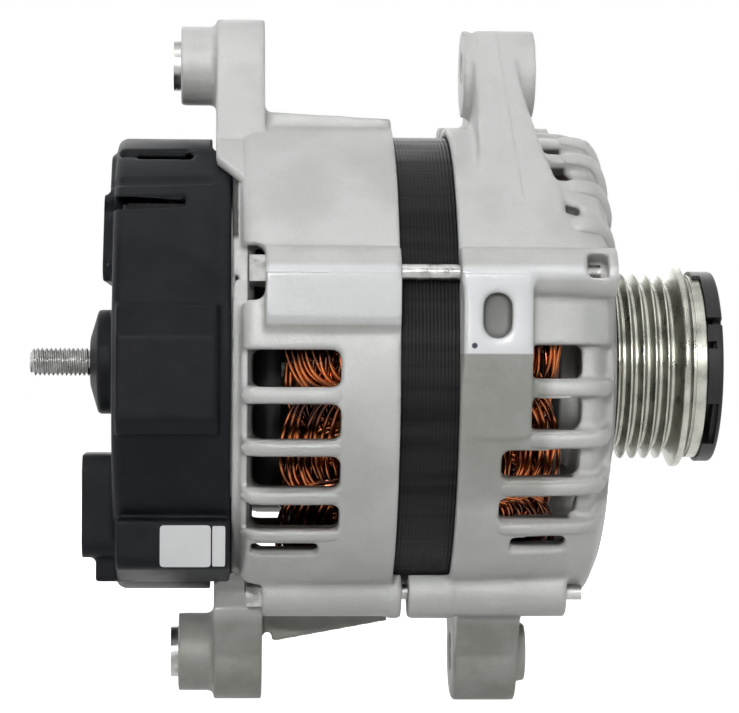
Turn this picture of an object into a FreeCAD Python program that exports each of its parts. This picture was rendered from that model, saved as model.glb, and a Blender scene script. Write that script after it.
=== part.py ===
"""Alternator with a one way pulley, as separate pieces in one parametric document.

Millimetres and degrees. +X runs along the shaft towards the pulley and +Z is up. The origin is where
the shaft's axis meets the middle of the belt track. Angles about the shaft are turns from the top
(+Z) towards -Y, the side that the photograph shows.
"""

import FreeCAD, Part
import math
import os
import Sketcher

V = FreeCAD.Vector
doc = FreeCAD.newDocument("Alternator")
sheet = doc.addObject("Spreadsheet::Sheet", "Sizes")

DIMENSIONS = {
    # general clearances
    "fit_gap": 0.02,
    "running_gap": 0.05,
    "seat_gap": 0.3,
    # stator
    "stator_r": 67.0,
    "stator_bore_r": 51.0,
    "stack_rear": -84.0,
    "stack_front": -46.0,
    "slot_count": 36,
    "slot_depth": 10.5,
    "slot_width": 4.2,
    "liner_wall": 0.35,
    "conductor_width": 2.9,
    "turns_inner_r": 52.6,
    "turns_outer_r": 61.0,
    "turns_rear": -106.6,
    "turns_front": -26.9,
    "lead_r": 0.9,
    "lead_ring_r": 62.2,
    "lead_turn": -90.0,
    "lead_sweep": 60.0,
    # through bolts
    "bolt_ring_r": 70.0,
    "bolt_turn": 68.5,
    "bolt_count": 4,
    "bolt_r": 2.2,
    "bolt_hole_r": 2.75,
    "bolt_head_r": 4.5,
    "head_clearance": 1.2,
    "bolt_head_rear": -114.2,
    "bolt_head_front": -109.8,
    "bolt_end": -17.9,
    "bolt_boss_r": 7.0,
    # front bracket
    "front_rim": -56.6,
    "front_rim_r": 70.0,
    "front_drum_r": 68.4,
    "front_shoulder": -16.0,
    "front_shoulder_r": 66.8,
    "nose_edge": -13.0,
    "nose_edge_r": 60.0,
    "nose_mid": -11.2,
    "nose_mid_r": 47.0,
    "nose_tip": -9.0,
    "nose_tip_r": 36.0,
    "well_r": 33.0,
    "well_floor": -16.2,
    "front_wall": 4.2,
    "front_inner_r": 63.4,
    "bracket_gap": 0.05,
    "front_lip_r": 18.2,
    "front_boss_r": 29.0,
    "vent_count": 4,
    "front_vent_turn": 89.0,
    "front_vent_pitch": 12.3,
    "front_vent_width": 9.2,
    "vent_round": 2.3,
    "short_vent_turn": 137.0,
    "short_vent_round": 1.6,
    "front_short_width": 6.2,
    "front_short_rear": -40.5,
    "front_short_front": -25.0,
    "front_vent_rear": -44.5,
    "front_vent_front": -22.5,
    "front_vent_inner_r": 65.0,
    "vent_recess_r": 64.9,
    "bay_inner_r": 57.6,
    "bay_depth": 2.6,
    "window_count": 12,
    "window_inner_r": 38.5,
    "window_outer_r": 56.0,
    "window_share": 0.62,
    "long_boss_rear": -68.1,
    "short_boss_front": -22.6,
    "hood_boss_front": -13.4,
    "hood_rear": -21.8,
    "hood_front": -16.2,
    "hood_half": 3.4,
    "hood_floor_r": 68.2,
    # front ears
    "upper_ear_z": 87.7,
    "upper_bore_r": 4.5,
    "upper_ear_rear": -51.2,
    "upper_ear_front": -30.2,
    "ear_disc_z": 85.95,
    "ear_disc_r": 12.95,
    "ear_flange": 1.8,
    "ear_neck": 2.4,
    "ear_neck_drop": 2.0,
    "lower_ear_z": -84.7,
    "lower_ear_r": 14.2,
    "lower_bore_r": 5.4,
    "lower_ear_rear": -53.7,
    "lower_ear_front": -35.0,
    "lower_land_r": 12.6,
    "lower_land": 0.4,
    "lower_collar_front": -31.9,
    "lower_collar_r": 8.6,
    "arm_rear": -48.0,
    "arm_foot_rear": -50.0,
    "arm_top_front": -37.5,
    "arm_high_front": -35.2,
    "arm_high_z": 80.0,
    "arm_mid_front": -32.1,
    "arm_mid_z": 66.0,
    "arm_low_front": -26.9,
    "arm_low_z": 49.0,
    "arm_root_front": -24.5,
    "arm_root_z": 30.0,
    "arm_flank_turn": 48.8,
    "arm_flank_z": 45.0,
    "lower_foot_half": 27.0,
    # slotted pad
    "pad_rear": -55.9,
    "pad_front": -36.7,
    "pad_top": 27.8,
    "pad_mid": 3.4,
    "pad_low_y": -67.0,
    "pad_roll": 3.0,
    "pad_bottom": -19.9,
    "pad_face_y": -72.6,
    "pad_slot_x": -46.5,
    "pad_slot_z": 13.8,
    "pad_slot_width": 7.8,
    "pad_slot_height": 12.4,
    "pad_slot_depth": 3.9,
    # rear bracket
    "rear_rim": -72.8,
    "rear_drum_r": 71.0,
    "rear_face": -116.4,
    "rear_wall": 3.5,
    "rear_inner_r": 64.5,
    "rear_vent_turn": 90.8,
    "rear_vent_pitch": 12.2,
    "rear_vent_width": 10.2,
    "rear_short_width": 5.2,
    "rear_short_front": -94.5,
    "rear_vent_inner_r": 66.6,
    "spigot_rear": -119.0,
    "spigot_inner_r": 64.0,
    "spigot_r": 65.8,
    "rear_vent_rear": -113.3,
    "rear_vent_front": -89.0,
    "rear_recess_r": 67.6,
    "rear_boss_r": 21.6,
    "rear_boss_end": -127.5,
    "rear_boss_bottom": -126.2,
    "rear_lip_r": 12.5,
    "rear_window_inner_r": 28.0,
    "rear_window_outer_r": 56.0,
    "rear_window_count": 9,
    "head_pocket_width": 16.8,
    "land_face_y": -72.8,
    "land_top": 31.0,
    "land_bottom": 8.0,
    "head_pocket_floor_r": 65.2,
    "rear_ear_rear": -123.5,
    "rear_ear_front": -109.4,
    "rear_ear_r": 13.8,
    "bush_boss_rear": -133.8,
    "bush_boss_r": 11.6,
    "bush_rear": -136.0,
    "bush_r": 7.4,
    "bush_travel": 2.0,
    "wedge_top": 73.2,
    "wedge_front": -72.9,
    "wedge_front_z": 71.3,
    "wedge_half": 17.0,
    "web_bottom": -82.1,
    "web_tip": -75.2,
    "web_half": 5.0,
    # bearings
    "front_bearing_rear": -31.7,
    "front_bearing_front": -17.7,
    "front_bearing_r": 23.5,
    "front_ball_r": 3.3,
    "front_ball_ring_r": 15.85,
    "front_ball_count": 7,
    "rear_bearing_rear": -125.6,
    "rear_bearing_front": -114.6,
    "rear_bearing_r": 17.0,
    "rear_sleeve_wall": 0.6,
    "rear_ball_r": 2.6,
    "rear_ball_ring_r": 12.1,
    "rear_ball_count": 7,
    "seal_thick": 0.9,
    "retainer_thick": 2.0,
    "retainer_r": 30.0,
    "retainer_screw_r": 1.9,
    "retainer_screw_ring_r": 26.4,
    "screw_head": 2.0,
    "screw_reach": 6.0,
    # rotor
    "shaft_r": 8.5,
    "knurl_r": 9.5,
    "shaft_rear": -148.6,
    "shaft_tail_r": 5.0,
    "rear_journal_r": 7.4,
    "shaft_thread_r": 8.0,
    "shaft_front": 12.5,
    "pole_rear": -88.0,
    "pole_front": -42.0,
    "pole_disc": 11.0,
    "pole_r": 50.6,
    "pole_hub_r": 23.5,
    "claw_count": 6,
    "claw_tip_gap": 1.6,
    "claw_root_thick": 10.5,
    "claw_tip_thick": 4.0,
    "claw_root_width": 28.0,
    "claw_tip_width": 13.0,
    "notch_r": 35.0,
    "coil_outer_r": 38.5,
    "bobbin_wall": 1.2,
    "fan_sheet": 1.6,
    "fan_inner_r": 15.0,
    "fan_r": 48.5,
    "blade_inner_r": 31.5,
    "blade_thick": 1.4,
    "blade_count": 11,
    "front_blade": 8.4,
    "rear_blade": 13.5,
    "ring_sleeve_r": 6.6,
    "slip_ring_r": 8.0,
    "slip_ring_width": 6.0,
    "outer_ring_x": -144.0,
    "inner_ring_x": -134.5,
    # pulley
    "rib_pitch": 3.56,
    "rib_crest_r": 27.4,
    "groove_root_r": 24.2,
    "groove_root_half": 0.38,
    "groove_flank_half": 1.17,
    "flange_r": 29.8,
    "flange_run": 2.05,
    "flange_crest": 1.7,
    "rear_hem": -14.6,
    "lip_r": 27.0,
    "lip_rear": 14.5,
    "lip_groove_front": 15.4,
    "lip_groove_depth": 0.8,
    "lip_front": 18.3,
    "clutch_race_r": 16.0,
    "clutch_half": 7.0,
    "needle_race_r": 15.2,
    "pulley_bore_end": 13.4,
    "hub_r": 12.0,
    "hub_front": 15.0,
    "roller_count": 12,
    "needle_count": 14,
    "cap_recess_r": 20.4,
    "cap_skirt_rear": 18.6,
    "cap_lug_rear": 16.4,
    "cap_front": 23.0,
    "cap_r": 28.1,
    "cap_skirt_wall": 0.95,
    "cap_face": 2.4,
    # rear cover
    "cover_rear": -151.9,
    "cover_front": -119.1,
    "cover_r": 66.0,
    "cover_wall": 2.5,
    "cover_round": 3.0,
    "cover_step_rear": -153.3,
    "cover_step_top": 60.0,
    "crown_rear": -154.9,
    "crown_top": 48.0,
    "crown_bottom": 23.0,
    "terminal_y": -30.0,
    "terminal_z": 0.5,
    "terminal_boss_r": 14.8,
    "terminal_boss_rear": -157.6,
    "terminal_dome": 1.2,
    "block_top": 16.6,
    "block_bottom": -19.3,
    "block_face_y": -69.5,
    "panel_top": -43.0,
    "panel_bottom": -60.5,
    "panel_face_y": -54.0,
    "plug_y": -29.0,
    "plug_z": -40.1,
    "plug_half_y": 11.5,
    "plug_half_z": 14.7,
    "plug_rear": -160.7,
    "plug_wall": 1.8,
    "plug_floor": -153.0,
    "pin_count": 4,
    "pin_pitch": 3.0,
    "slit_height": 1.8,
    "slit_high_z": 59.0,
    "slit_low_z": 45.8,
    "cover_stud_ring_r": 56.0,
    "cover_stud_r": 2.5,
    "cover_nut_r": 4.6,
    "cover_nut_thick": 4.4,
    "ear_notch": 1.0,
    # rectifier, regulator and brushes
    "stud_r": 4.0,
    "stud_rear": -175.9,
    "stud_tip_run": 2.4,
    "stud_neck": -159.1,
    "stud_neck_r": 3.5,
    "stud_head_r": 8.0,
    "sink_inner_r": 24.5,
    "sink_outer_r": 60.5,
    "sink_thick": 3.0,
    "sink_reach": 128.0,
    "negative_sink_front": -118.0,
    "terminal_plate_front": -124.6,
    "terminal_plate_thick": 3.4,
    "positive_sink_front": -131.0,
    "diode_r": 5.6,
    "diode_ring_r": 44.0,
    "diode_long": 6.4,
    "diode_turn": 40.0,
    "diode_count": 6,
    "regulator_rear": -148.8,
    "regulator_front": -129.0,
    "regulator_top": -37.5,
    "regulator_bottom": -51.0,
    "regulator_half": 22.0,
    "fin_count": 6,
    "fin_thick": 1.4,
    "fin_drop": 2.6,
    "fin_inset": 3.5,
    "holder_top": -10.6,
    "holder_wall": 1.4,
    "brush_x_size": 4.6,
    "brush_y_size": 6.4,
    "brush_long": 15.5,
    "brush_tip": -6.6,
}


class Size:
    """A length or an angle: its value now, and the sheet's expression that it comes from."""

    def __init__(self, value, text):
        self.value = float(value)
        self.text = text

    def __add__(self, other):
        other = size(other)
        return Size(self.value + other.value, f"({self.text} + {other.text})")

    def __sub__(self, other):
        other = size(other)
        return Size(self.value - other.value, f"({self.text} - {other.text})")

    def __mul__(self, other):
        other = size(other)
        return Size(self.value * other.value, f"({self.text} * {other.text})")

    def __truediv__(self, other):
        other = size(other)
        return Size(self.value / other.value, f"({self.text} / {other.text})")

    def __radd__(self, other):
        return size(other) + self

    def __rsub__(self, other):
        return size(other) - self

    def __rmul__(self, other):
        return size(other) * self

    def __rtruediv__(self, other):
        return size(other) / self

    def __neg__(self):
        return Size(-self.value, f"(-1 * {self.text})")


def size(value):
    """A plain number as a size that no cell drives."""
    if isinstance(value, Size):
        return value
    return Size(value, f"{float(value):.6f}")


def cosine(angle):
    """Cosine of an angle in degrees."""
    angle = size(angle)
    return Size(math.cos(math.radians(angle.value)), f"cos({angle.text})")


def sine(angle):
    """Sine of an angle in degrees."""
    angle = size(angle)
    return Size(math.sin(math.radians(angle.value)), f"sin({angle.text})")


class Cells:
    """The sheet's cells by name, as sizes."""

    def __init__(self, values):
        for row, (name, value) in enumerate(values.items(), start=1):
            sheet.set(f"A{row}", name)
            sheet.set(f"B{row}", str(value))
            sheet.setAlias(f"B{row}", name)
            setattr(self, name, Size(value, f"Sizes.{name}"))


c = Cells(DIMENSIONS)
doc.recompute()
NODES = {}


def node(name, thing):
    """Names a finished sub-part, whose file gets the same name."""
    thing.Label = name
    NODES[name] = thing
    return thing


def bind(thing, prop, value):
    """Sets a property and ties it to the cells behind the value."""
    value = size(value)
    if "Sizes." in value.text or "." in prop:
        thing.setExpression(prop, value.text)
    elif prop == "Occurrences":
        thing.Occurrences = int(value.value)
    else:
        setattr(thing, prop, value.value)


def new_body(name, several=False):
    """An empty body; several is for a group of identical separate pieces."""
    body = doc.addObject("PartDesign::Body", name)
    body.Label = name + "_body"
    body.AllowCompound = several
    return body


class Outline:
    """A sketch on one of a body's own planes, with every coordinate tied to the cells."""

    def __init__(self, body, plane, shift=0.0, turn=None):
        self.sketch = body.newObject("Sketcher::SketchObject", body.Name + "_outline")
        base = [f for f in body.Origin.OriginFeatures if f.Role == plane][0]
        self.sketch.AttachmentSupport = (base, "")
        self.sketch.MapMode = "FlatFace"
        shift = size(shift)
        if turn is None:
            bind(self.sketch, "AttachmentOffset.Base.z", shift)
            return
        turn = size(turn)
        turned = FreeCAD.Rotation(V(1, 0, 0), turn.value)
        self.sketch.AttachmentOffset = FreeCAD.Placement(V(0, 0, 0), turned)
        bind(self.sketch, "AttachmentOffset.Rotation.Axis.x", 1.0)
        bind(self.sketch, "AttachmentOffset.Rotation.Angle", turn)
        bind(self.sketch, "AttachmentOffset.Base.y", -shift * sine(turn))
        bind(self.sketch, "AttachmentOffset.Base.z", shift * cosine(turn))

    def tie(self, kind, places, value):
        """Adds a dimension and ties it to its cells."""
        index = self.sketch.addConstraint(Sketcher.Constraint(kind, *places, value.value))
        if "Sizes." in value.text:
            self.sketch.setExpression(f"Constraints[{index}]", value.text)

    def pin(self, piece, end, u, v):
        """Holds a point at a place measured from the sketch's origin."""
        for kind, axis, value in (("DistanceX", -2, u), ("DistanceY", -1, v)):
            if value.value == 0.0:
                self.sketch.addConstraint(Sketcher.Constraint("PointOnObject", piece, end, axis))
            else:
                self.tie(kind, (-1, 1, piece, end), value)

    def circle(self, u, v, radius):
        """A full circle."""
        u, v, radius = size(u), size(v), size(radius)
        ring = Part.Circle(V(u.value, v.value, 0), V(0, 0, 1), radius.value)
        piece = self.sketch.addGeometry(ring, False)
        self.pin(piece, 3, u, v)
        self.tie("Radius", (piece,), radius)
        return self

    def loop(self, corners):
        """A closed run of straight edges; a corner's third value, if any, is its radius."""
        corners = [tuple(size(value) for value in corner) for corner in corners]
        count = len(corners)
        points = [V(corner[0].value, corner[1].value, 0) for corner in corners]
        arrive, leave, centres = [], [], []
        for i, corner in enumerate(corners):
            back = (points[i - 1] - points[i]).normalize()
            ahead = (points[(i + 1) % count] - points[i]).normalize()
            half = back.getAngle(ahead) / 2
            radius = corner[2].value if len(corner) > 2 else 0.0
            arrive.append(points[i] + back * (radius / math.tan(half)))
            leave.append(points[i] + ahead * (radius / math.tan(half)))
            inwards = back + ahead
            reach = radius / math.sin(half)
            centres.append(points[i] + inwards.normalize() * reach if radius else points[i])
        lines = []
        for i in range(count):
            edge = Part.LineSegment(leave[i], arrive[(i + 1) % count])
            lines.append(self.sketch.addGeometry(edge, False))
        for i, corner in enumerate(corners):
            before, after = lines[i - 1], lines[i]
            if len(corner) == 2:
                self.sketch.addConstraint(Sketcher.Constraint("Coincident", before, 2, after, 1))
                self.pin(after, 1, corner[0], corner[1])
                continue
            spoke_in, spoke_out = arrive[i] - centres[i], leave[i] - centres[i]
            first = math.atan2(spoke_in.y, spoke_in.x)
            last = math.atan2(spoke_out.y, spoke_out.x)
            left_turn = spoke_in.cross(spoke_out).z > 0
            if not left_turn:
                first, last = last, first
            ring = Part.Circle(centres[i], V(0, 0, 1), corner[2].value)
            arc = self.sketch.addGeometry(Part.ArcOfCircle(ring, first, last), False)
            ends = (1, 2) if left_turn else (2, 1)
            self.sketch.addConstraint(Sketcher.Constraint("Tangent", before, 2, arc, ends[0]))
            self.sketch.addConstraint(Sketcher.Constraint("Tangent", arc, ends[1], after, 1))
            self.tie("Radius", (arc,), corner[2])
            mark = self.sketch.addGeometry(Part.Point(points[i]), True)
            self.sketch.addConstraint(Sketcher.Constraint("PointOnObject", mark, 1, before))
            self.sketch.addConstraint(Sketcher.Constraint("PointOnObject", mark, 1, after))
            self.pin(mark, 1, corner[0], corner[1])
        return self

    def box(self, u_low, u_high, v_low, v_high, *radius):
        """A rectangle, with rounded corners if a radius is given."""
        return self.loop([(u_low, v_low, *radius), (u_high, v_low, *radius),
                          (u_high, v_high, *radius), (u_low, v_high, *radius)])


def revolve(body, corners, cut=False):
    """Turns an outline of (x, radius) corners about the shaft's axis, as metal or as a cut."""
    outline = Outline(body, "XZ_Plane").loop(corners)
    kind = "PartDesign::Groove" if cut else "PartDesign::Revolution"
    feature = body.newObject(kind, body.Name + "_turned")
    feature.Profile = outline.sketch
    feature.ReferenceAxis = (outline.sketch, ["H_Axis"])
    feature.Angle = 360
    body.Tip = feature
    return feature


def pad(body, outline, length, middle=False, backwards=False):
    """Extrudes an outline along its plane's normal."""
    feature = body.newObject("PartDesign::Pad", body.Name + "_pad")
    feature.Profile = outline.sketch
    feature.Midplane = middle
    feature.Reversed = backwards
    bind(feature, "Length", length)
    body.Tip = feature
    return feature


def pocket(body, outline, length, middle=False, backwards=False):
    """Cuts an outline against its plane's normal."""
    feature = body.newObject("PartDesign::Pocket", body.Name + "_pocket")
    feature.Profile = outline.sketch
    feature.Midplane = middle
    feature.Reversed = backwards
    bind(feature, "Length", length)
    body.Tip = feature
    return feature


def repeat(body, feature, count, sweep=360.0):
    """Repeats a feature about the shaft's axis; a sweep under a full turn has copies at both ends."""
    doc.recompute()
    pattern = body.newObject("PartDesign::PolarPattern", body.Name + "_pattern")
    pattern.Originals = [feature]
    pattern.Axis = ([f for f in body.Origin.OriginFeatures if f.Role == "X_Axis"][0], [""])
    bind(pattern, "Angle", sweep)
    bind(pattern, "Occurrences", count)
    body.Tip = pattern
    return pattern


def turned(name, corners):
    """A sub-part turned from one outline of (x, radius) corners."""
    body = new_body(name)
    revolve(body, corners)
    return node(name, body)


def ring(name, rear, front, inner, outer):
    """A plain ring about the shaft's axis."""
    return turned(name, [(rear, inner), (front, inner), (front, outer), (rear, outer)])


def at_turn(radius, turn):
    """The (y, z) place at a radius and a turn from the top."""
    return -radius * sine(turn), radius * cosine(turn)


def fused(name, things):
    """Several shapes of one casting or moulding, joined."""
    joined = doc.addObject("Part::MultiFuse", name)
    joined.Shapes = things
    joined.Refine = True
    return joined


def less(name, base, tool):
    """A shape with a tool's shape cut away."""
    result = doc.addObject("Part::Cut", name)
    result.Base = base
    result.Tool = tool
    result.Refine = True
    return result


def rod(name, x_from, x_to, radius, y=0.0, z=0.0):
    """A round bar along the shaft's direction."""
    bar = doc.addObject("Part::Cylinder", name)
    bar.Placement = FreeCAD.Placement(V(0, 0, 0), FreeCAD.Rotation(V(0, 1, 0), 90))
    bind(bar, "Radius", radius)
    bind(bar, "Height", size(x_to) - x_from)
    bind(bar, "Placement.Base.x", x_from)
    bind(bar, "Placement.Base.y", y)
    bind(bar, "Placement.Base.z", z)
    return bar


def block(name, x_from, x_to, y_from, y_to, z_from, z_to):
    """A square cornered block."""
    cuboid = doc.addObject("Part::Box", name)
    for side, axis, low, high in (("Length", "x", x_from, x_to), ("Width", "y", y_from, y_to),
                                  ("Height", "z", z_from, z_to)):
        bind(cuboid, side, size(high) - low)
        bind(cuboid, f"Placement.Base.{axis}", low)
    return cuboid


def hexagon(y, z, radius):
    """Corners of a six sided outline, flats square to the vertical."""
    return [(y - radius * sine(60.0 * step), z + radius * cosine(60.0 * step)) for step in range(6)]


# Stator: the laminated core, the liners in its slots and the copper winding

def build_stator():
    """Core with open slots on its bore, liners, winding with its end turns, and the leads."""
    slot_end = c.stator_bore_r + c.slot_depth
    core = new_body("stator_core")
    revolve(core, [(c.stack_rear, c.stator_bore_r), (c.stack_front, c.stator_bore_r),
                   (c.stack_front, c.stator_r), (c.stack_rear, c.stator_r)])
    half = c.slot_width / 2
    slot = Outline(core, "YZ_Plane", c.stack_front)
    slot.box(-half, half, c.stator_bore_r - 1.0, slot_end)
    cut = pocket(core, slot, c.stack_front - c.stack_rear)
    repeat(core, cut, c.slot_count)
    node("stator_core", core)

    liners = new_body("slot_liners", several=True)
    outer = half - c.running_gap
    inner = outer - c.liner_wall
    top = slot_end - c.running_gap
    shape = Outline(liners, "YZ_Plane", c.stack_rear)
    shape.loop([(-outer, c.turns_inner_r), (-inner, c.turns_inner_r), (-inner, top - c.liner_wall),
                (inner, top - c.liner_wall), (inner, c.turns_inner_r), (outer, c.turns_inner_r),
                (outer, top), (-outer, top)])
    one = pad(liners, shape, c.stack_front - c.stack_rear)
    repeat(liners, one, c.slot_count)
    node("slot_liners", liners)

    winding = new_body("stator_winding", several=True)
    crown = 3.0
    revolve(winding, [(c.turns_rear, c.turns_inner_r, crown), (c.turns_rear, c.turns_outer_r, crown),
                      (c.stack_rear - c.seat_gap, c.turns_outer_r, 1.0),
                      (c.stack_rear - c.seat_gap, c.turns_inner_r, 1.0)])
    front_start = c.stack_front + c.seat_gap
    revolve(winding, [(front_start, c.turns_inner_r, 1.0), (front_start, c.turns_outer_r, 1.0),
                      (c.turns_front, c.turns_outer_r, crown), (c.turns_front, c.turns_inner_r, crown)])
    bar_half = c.conductor_width / 2
    bar = Outline(winding, "YZ_Plane", c.stack_rear - 2.0)
    bar.box(-bar_half, bar_half, c.turns_inner_r + 0.6, c.turns_outer_r - 0.6)
    one = pad(winding, bar, c.stack_front - c.stack_rear + 4.0)
    repeat(winding, one, c.slot_count)
    node("stator_winding", winding)

    leads = new_body("stator_leads", several=True)
    y, z = at_turn(c.lead_ring_r, c.lead_turn)
    wire = Outline(leads, "YZ_Plane", c.terminal_plate_front - c.terminal_plate_thick)
    wire.circle(y, z, c.lead_r)
    lead_long = c.turns_rear + 8.0 - c.terminal_plate_front + c.terminal_plate_thick
    repeat(leads, pad(leads, wire, lead_long), 3, c.lead_sweep)
    node("stator_leads", leads)


# Brackets: the two castings, their ears, vents and bolt bosses

def vent_tools(name, x_from, x_to, width, reach, radius, turns, groups):
    """Groups of slot shaped cutters between the bolt bosses.

    width is a slot's, reach its inner and outer radius, and turns the first slot's turn and the pitch,
    or one turn alone where each group has one slot.
    """
    body = new_body(name, several=True)
    half = width / 2
    floor_r, outer_r = reach
    for group in groups:
        slot = Outline(body, "XY_Plane", floor_r, turns[0] + 90.0 * group)
        slot.box(x_from, x_to, -half, half, radius)
        cutter = pad(body, slot, outer_r - floor_r)
        if len(turns) > 1:
            repeat(body, cutter, c.vent_count, turns[1] * (c.vent_count - 1))
    return body


def window_tools(name, face, inner_r, outer_r, count, through):
    """Air windows in an end wall, with a spoke between each two."""
    body = new_body(name, several=True)
    reach = c.window_share * 180.0 / count
    window = Outline(body, "YZ_Plane", face - through)
    window.loop([(-inner_r * sine(reach), inner_r, 2.0), (inner_r * sine(reach), inner_r, 2.0),
                 (outer_r * sine(reach), outer_r, 3.0), (-outer_r * sine(reach), outer_r, 3.0)])
    repeat(body, pad(body, window, through), count)
    return body


def lug(centre_z, radius, foot_half, foot_z):
    """Corners of an ear seen along the shaft: round at its tip and flared towards the drum."""
    tip = size(centre_z) + radius if centre_z.value > 0 else size(centre_z) - radius
    side = radius * 0.99
    return [(-foot_half, foot_z), (-radius, centre_z), (-radius, tip, side), (radius, tip, side),
            (radius, centre_z), (foot_half, foot_z)]


def extruded(name, plane, shift, corners, length, middle=False):
    """A body made by one pad."""
    body = new_body(name)
    pad(body, Outline(body, plane, shift).loop(corners), length, middle)
    return body


def common(name, first, second):
    """What two shapes share."""
    shared = doc.addObject("Part::MultiCommon", name)
    shared.Shapes = [first, second]
    return shared


def build_front_bracket():
    """Drive end casting: vented drum, domed nose with windows, bearing boss, ears and pad."""
    body = new_body("front_casting")
    revolve(body, [(c.front_rim, 0.0), (c.front_rim, c.front_rim_r), (c.front_vent_front, c.front_drum_r),
                   (c.front_shoulder, c.front_shoulder_r, 3.0), (c.nose_edge, c.nose_edge_r, 8.0),
                   (c.nose_mid, c.nose_mid_r), (c.nose_tip, c.nose_tip_r, 1.2), (c.nose_tip, c.well_r),
                   (c.well_floor, c.well_r), (c.well_floor, 0.0)])
    y, z = at_turn(c.bolt_ring_r, c.bolt_turn)
    short = Outline(body, "YZ_Plane", c.front_rim).circle(y, z, c.bolt_boss_r)
    repeat(body, pad(body, short, c.short_boss_front - c.front_rim), c.bolt_count)
    y, z = at_turn(c.bolt_ring_r, c.bolt_turn + 90.0)
    long_boss = Outline(body, "YZ_Plane", c.long_boss_rear).circle(y, z, c.bolt_boss_r + 0.6)
    pad(body, long_boss, c.front_rim - c.long_boss_rear + 1.0)

    wall = c.front_wall
    seat_r = c.stator_r + c.bracket_gap
    hollow = [(c.long_boss_rear - 1.0, 0.0), (c.long_boss_rear - 1.0, seat_r), (c.stack_front, seat_r),
              (c.stack_front, c.front_inner_r), (c.stack_front + 1.2, c.front_inner_r),
              (c.stack_front + 2.4, c.front_vent_inner_r),
              (c.front_vent_front - 1.0, c.front_vent_inner_r - 1.4, 3.0),
              (c.nose_edge - wall, c.nose_edge_r - wall - 1.0), (c.nose_mid - wall, c.nose_mid_r - wall),
              (c.nose_tip - wall, c.well_r + wall), (c.well_floor - 3.0, c.well_r + wall),
              (c.well_floor - 3.0, c.front_boss_r), (c.front_bearing_rear, c.front_boss_r),
              (c.front_bearing_rear, 0.0)]
    revolve(body, hollow, cut=True)
    cavity = new_body("front_cavity")
    revolve(cavity, hollow)
    bore_r = c.front_bearing_r + c.fit_gap
    revolve(body, [(c.front_bearing_rear - 2.0, 0.0), (c.front_bearing_rear - 2.0, bore_r),
                   (c.front_bearing_front, bore_r), (c.front_bearing_front, c.front_lip_r),
                   (c.well_floor + 1.0, c.front_lip_r), (c.well_floor + 1.0, 0.0)], cut=True)
    everywhere = (0, 1, 2, 3)
    through = (c.front_inner_r - 4.0, c.front_rim_r + 6.0)
    turns = (c.front_vent_turn, c.front_vent_pitch)
    bays = vent_tools("front_bay_blocks", c.front_vent_front - 4.0, c.nose_tip, c.front_vent_width,
                      (c.bay_inner_r, c.front_rim_r + 6.0), 1.0, turns, everywhere)
    dome_core = new_body("dome_core")
    revolve(dome_core, [(c.front_vent_front - 6.0, 0.0), (c.front_vent_front - 6.0, c.vent_recess_r),
                        (c.front_shoulder - c.bay_depth, c.vent_recess_r, 2.0),
                        (c.nose_edge - c.bay_depth, c.nose_edge_r - c.bay_depth / 2, 5.0),
                        (c.nose_mid - c.bay_depth, c.nose_mid_r), (c.nose_mid - c.bay_depth, 0.0)])
    cuts = [vent_tools("front_vents", c.front_vent_rear, c.front_vent_front, c.front_vent_width, through,
                       c.vent_round, turns, everywhere),
            vent_tools("front_short_vents", c.front_short_rear, c.front_short_front, c.front_short_width,
                       through, c.short_vent_round, (c.short_vent_turn,), everywhere),
            less("front_bays", bays, dome_core),
            window_tools("front_windows", c.nose_tip + 1.0, c.window_inner_r, c.window_outer_r,
                         c.window_count, c.nose_tip - c.front_vent_front)]
    vented = less("front_vented", body, fused("front_cuts", cuts))

    lean_tangent = sine(c.arm_flank_turn) / cosine(c.arm_flank_turn)
    web_r = c.ear_disc_r - 0.6
    apex_z = c.ear_disc_z + web_r / cosine(c.arm_flank_turn)
    flank_y = (apex_z - c.arm_flank_z) / lean_tangent
    flat = extruded("upper_arm_face", "YZ_Plane", c.front_rim,
                    [(-flank_y, c.arm_flank_z), (0.0, apex_z, web_r), (flank_y, c.arm_flank_z),
                     (flank_y - 8.0, c.arm_root_z), (8.0 - flank_y, c.arm_root_z)],
                    c.front_shoulder - c.front_rim)
    side = extruded("upper_arm_side", "XZ_Plane", 0.0,
                    [(c.arm_rear, 100.0), (c.arm_top_front, 100.0), (c.arm_high_front, c.arm_high_z),
                     (c.arm_mid_front, c.arm_mid_z), (c.arm_low_front, c.arm_low_z),
                     (c.arm_root_front, c.arm_root_z - 2.0), (c.arm_foot_rear, c.arm_root_z - 2.0)],
                    130.0, middle=True)
    arm = common("upper_arm", flat, side)
    neck_rear = c.upper_ear_rear + c.ear_flange
    flange = rod("upper_ear_flange", c.upper_ear_rear, neck_rear, c.ear_disc_r, 0.0, c.ear_disc_z)
    neck = rod("upper_ear_neck", neck_rear - 0.5, neck_rear + c.ear_neck + 1.0,
               c.ear_disc_r - c.ear_neck_drop, 0.0, c.ear_disc_z)
    barrel = rod("upper_ear_barrel", neck_rear + c.ear_neck, c.upper_ear_front, c.ear_disc_r,
                 0.0, c.ear_disc_z)

    low_ear = extruded("lower_ear", "YZ_Plane", c.lower_ear_rear + c.lower_land,
                       lug(c.lower_ear_z, c.lower_ear_r, c.lower_foot_half, -c.stator_r - 0.5),
                       c.lower_ear_front - c.lower_ear_rear - c.lower_land)
    collar = rod("lower_ear_collar", c.lower_ear_front - 1.0, c.lower_collar_front, c.lower_collar_r,
                 0.0, c.lower_ear_z)

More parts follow.
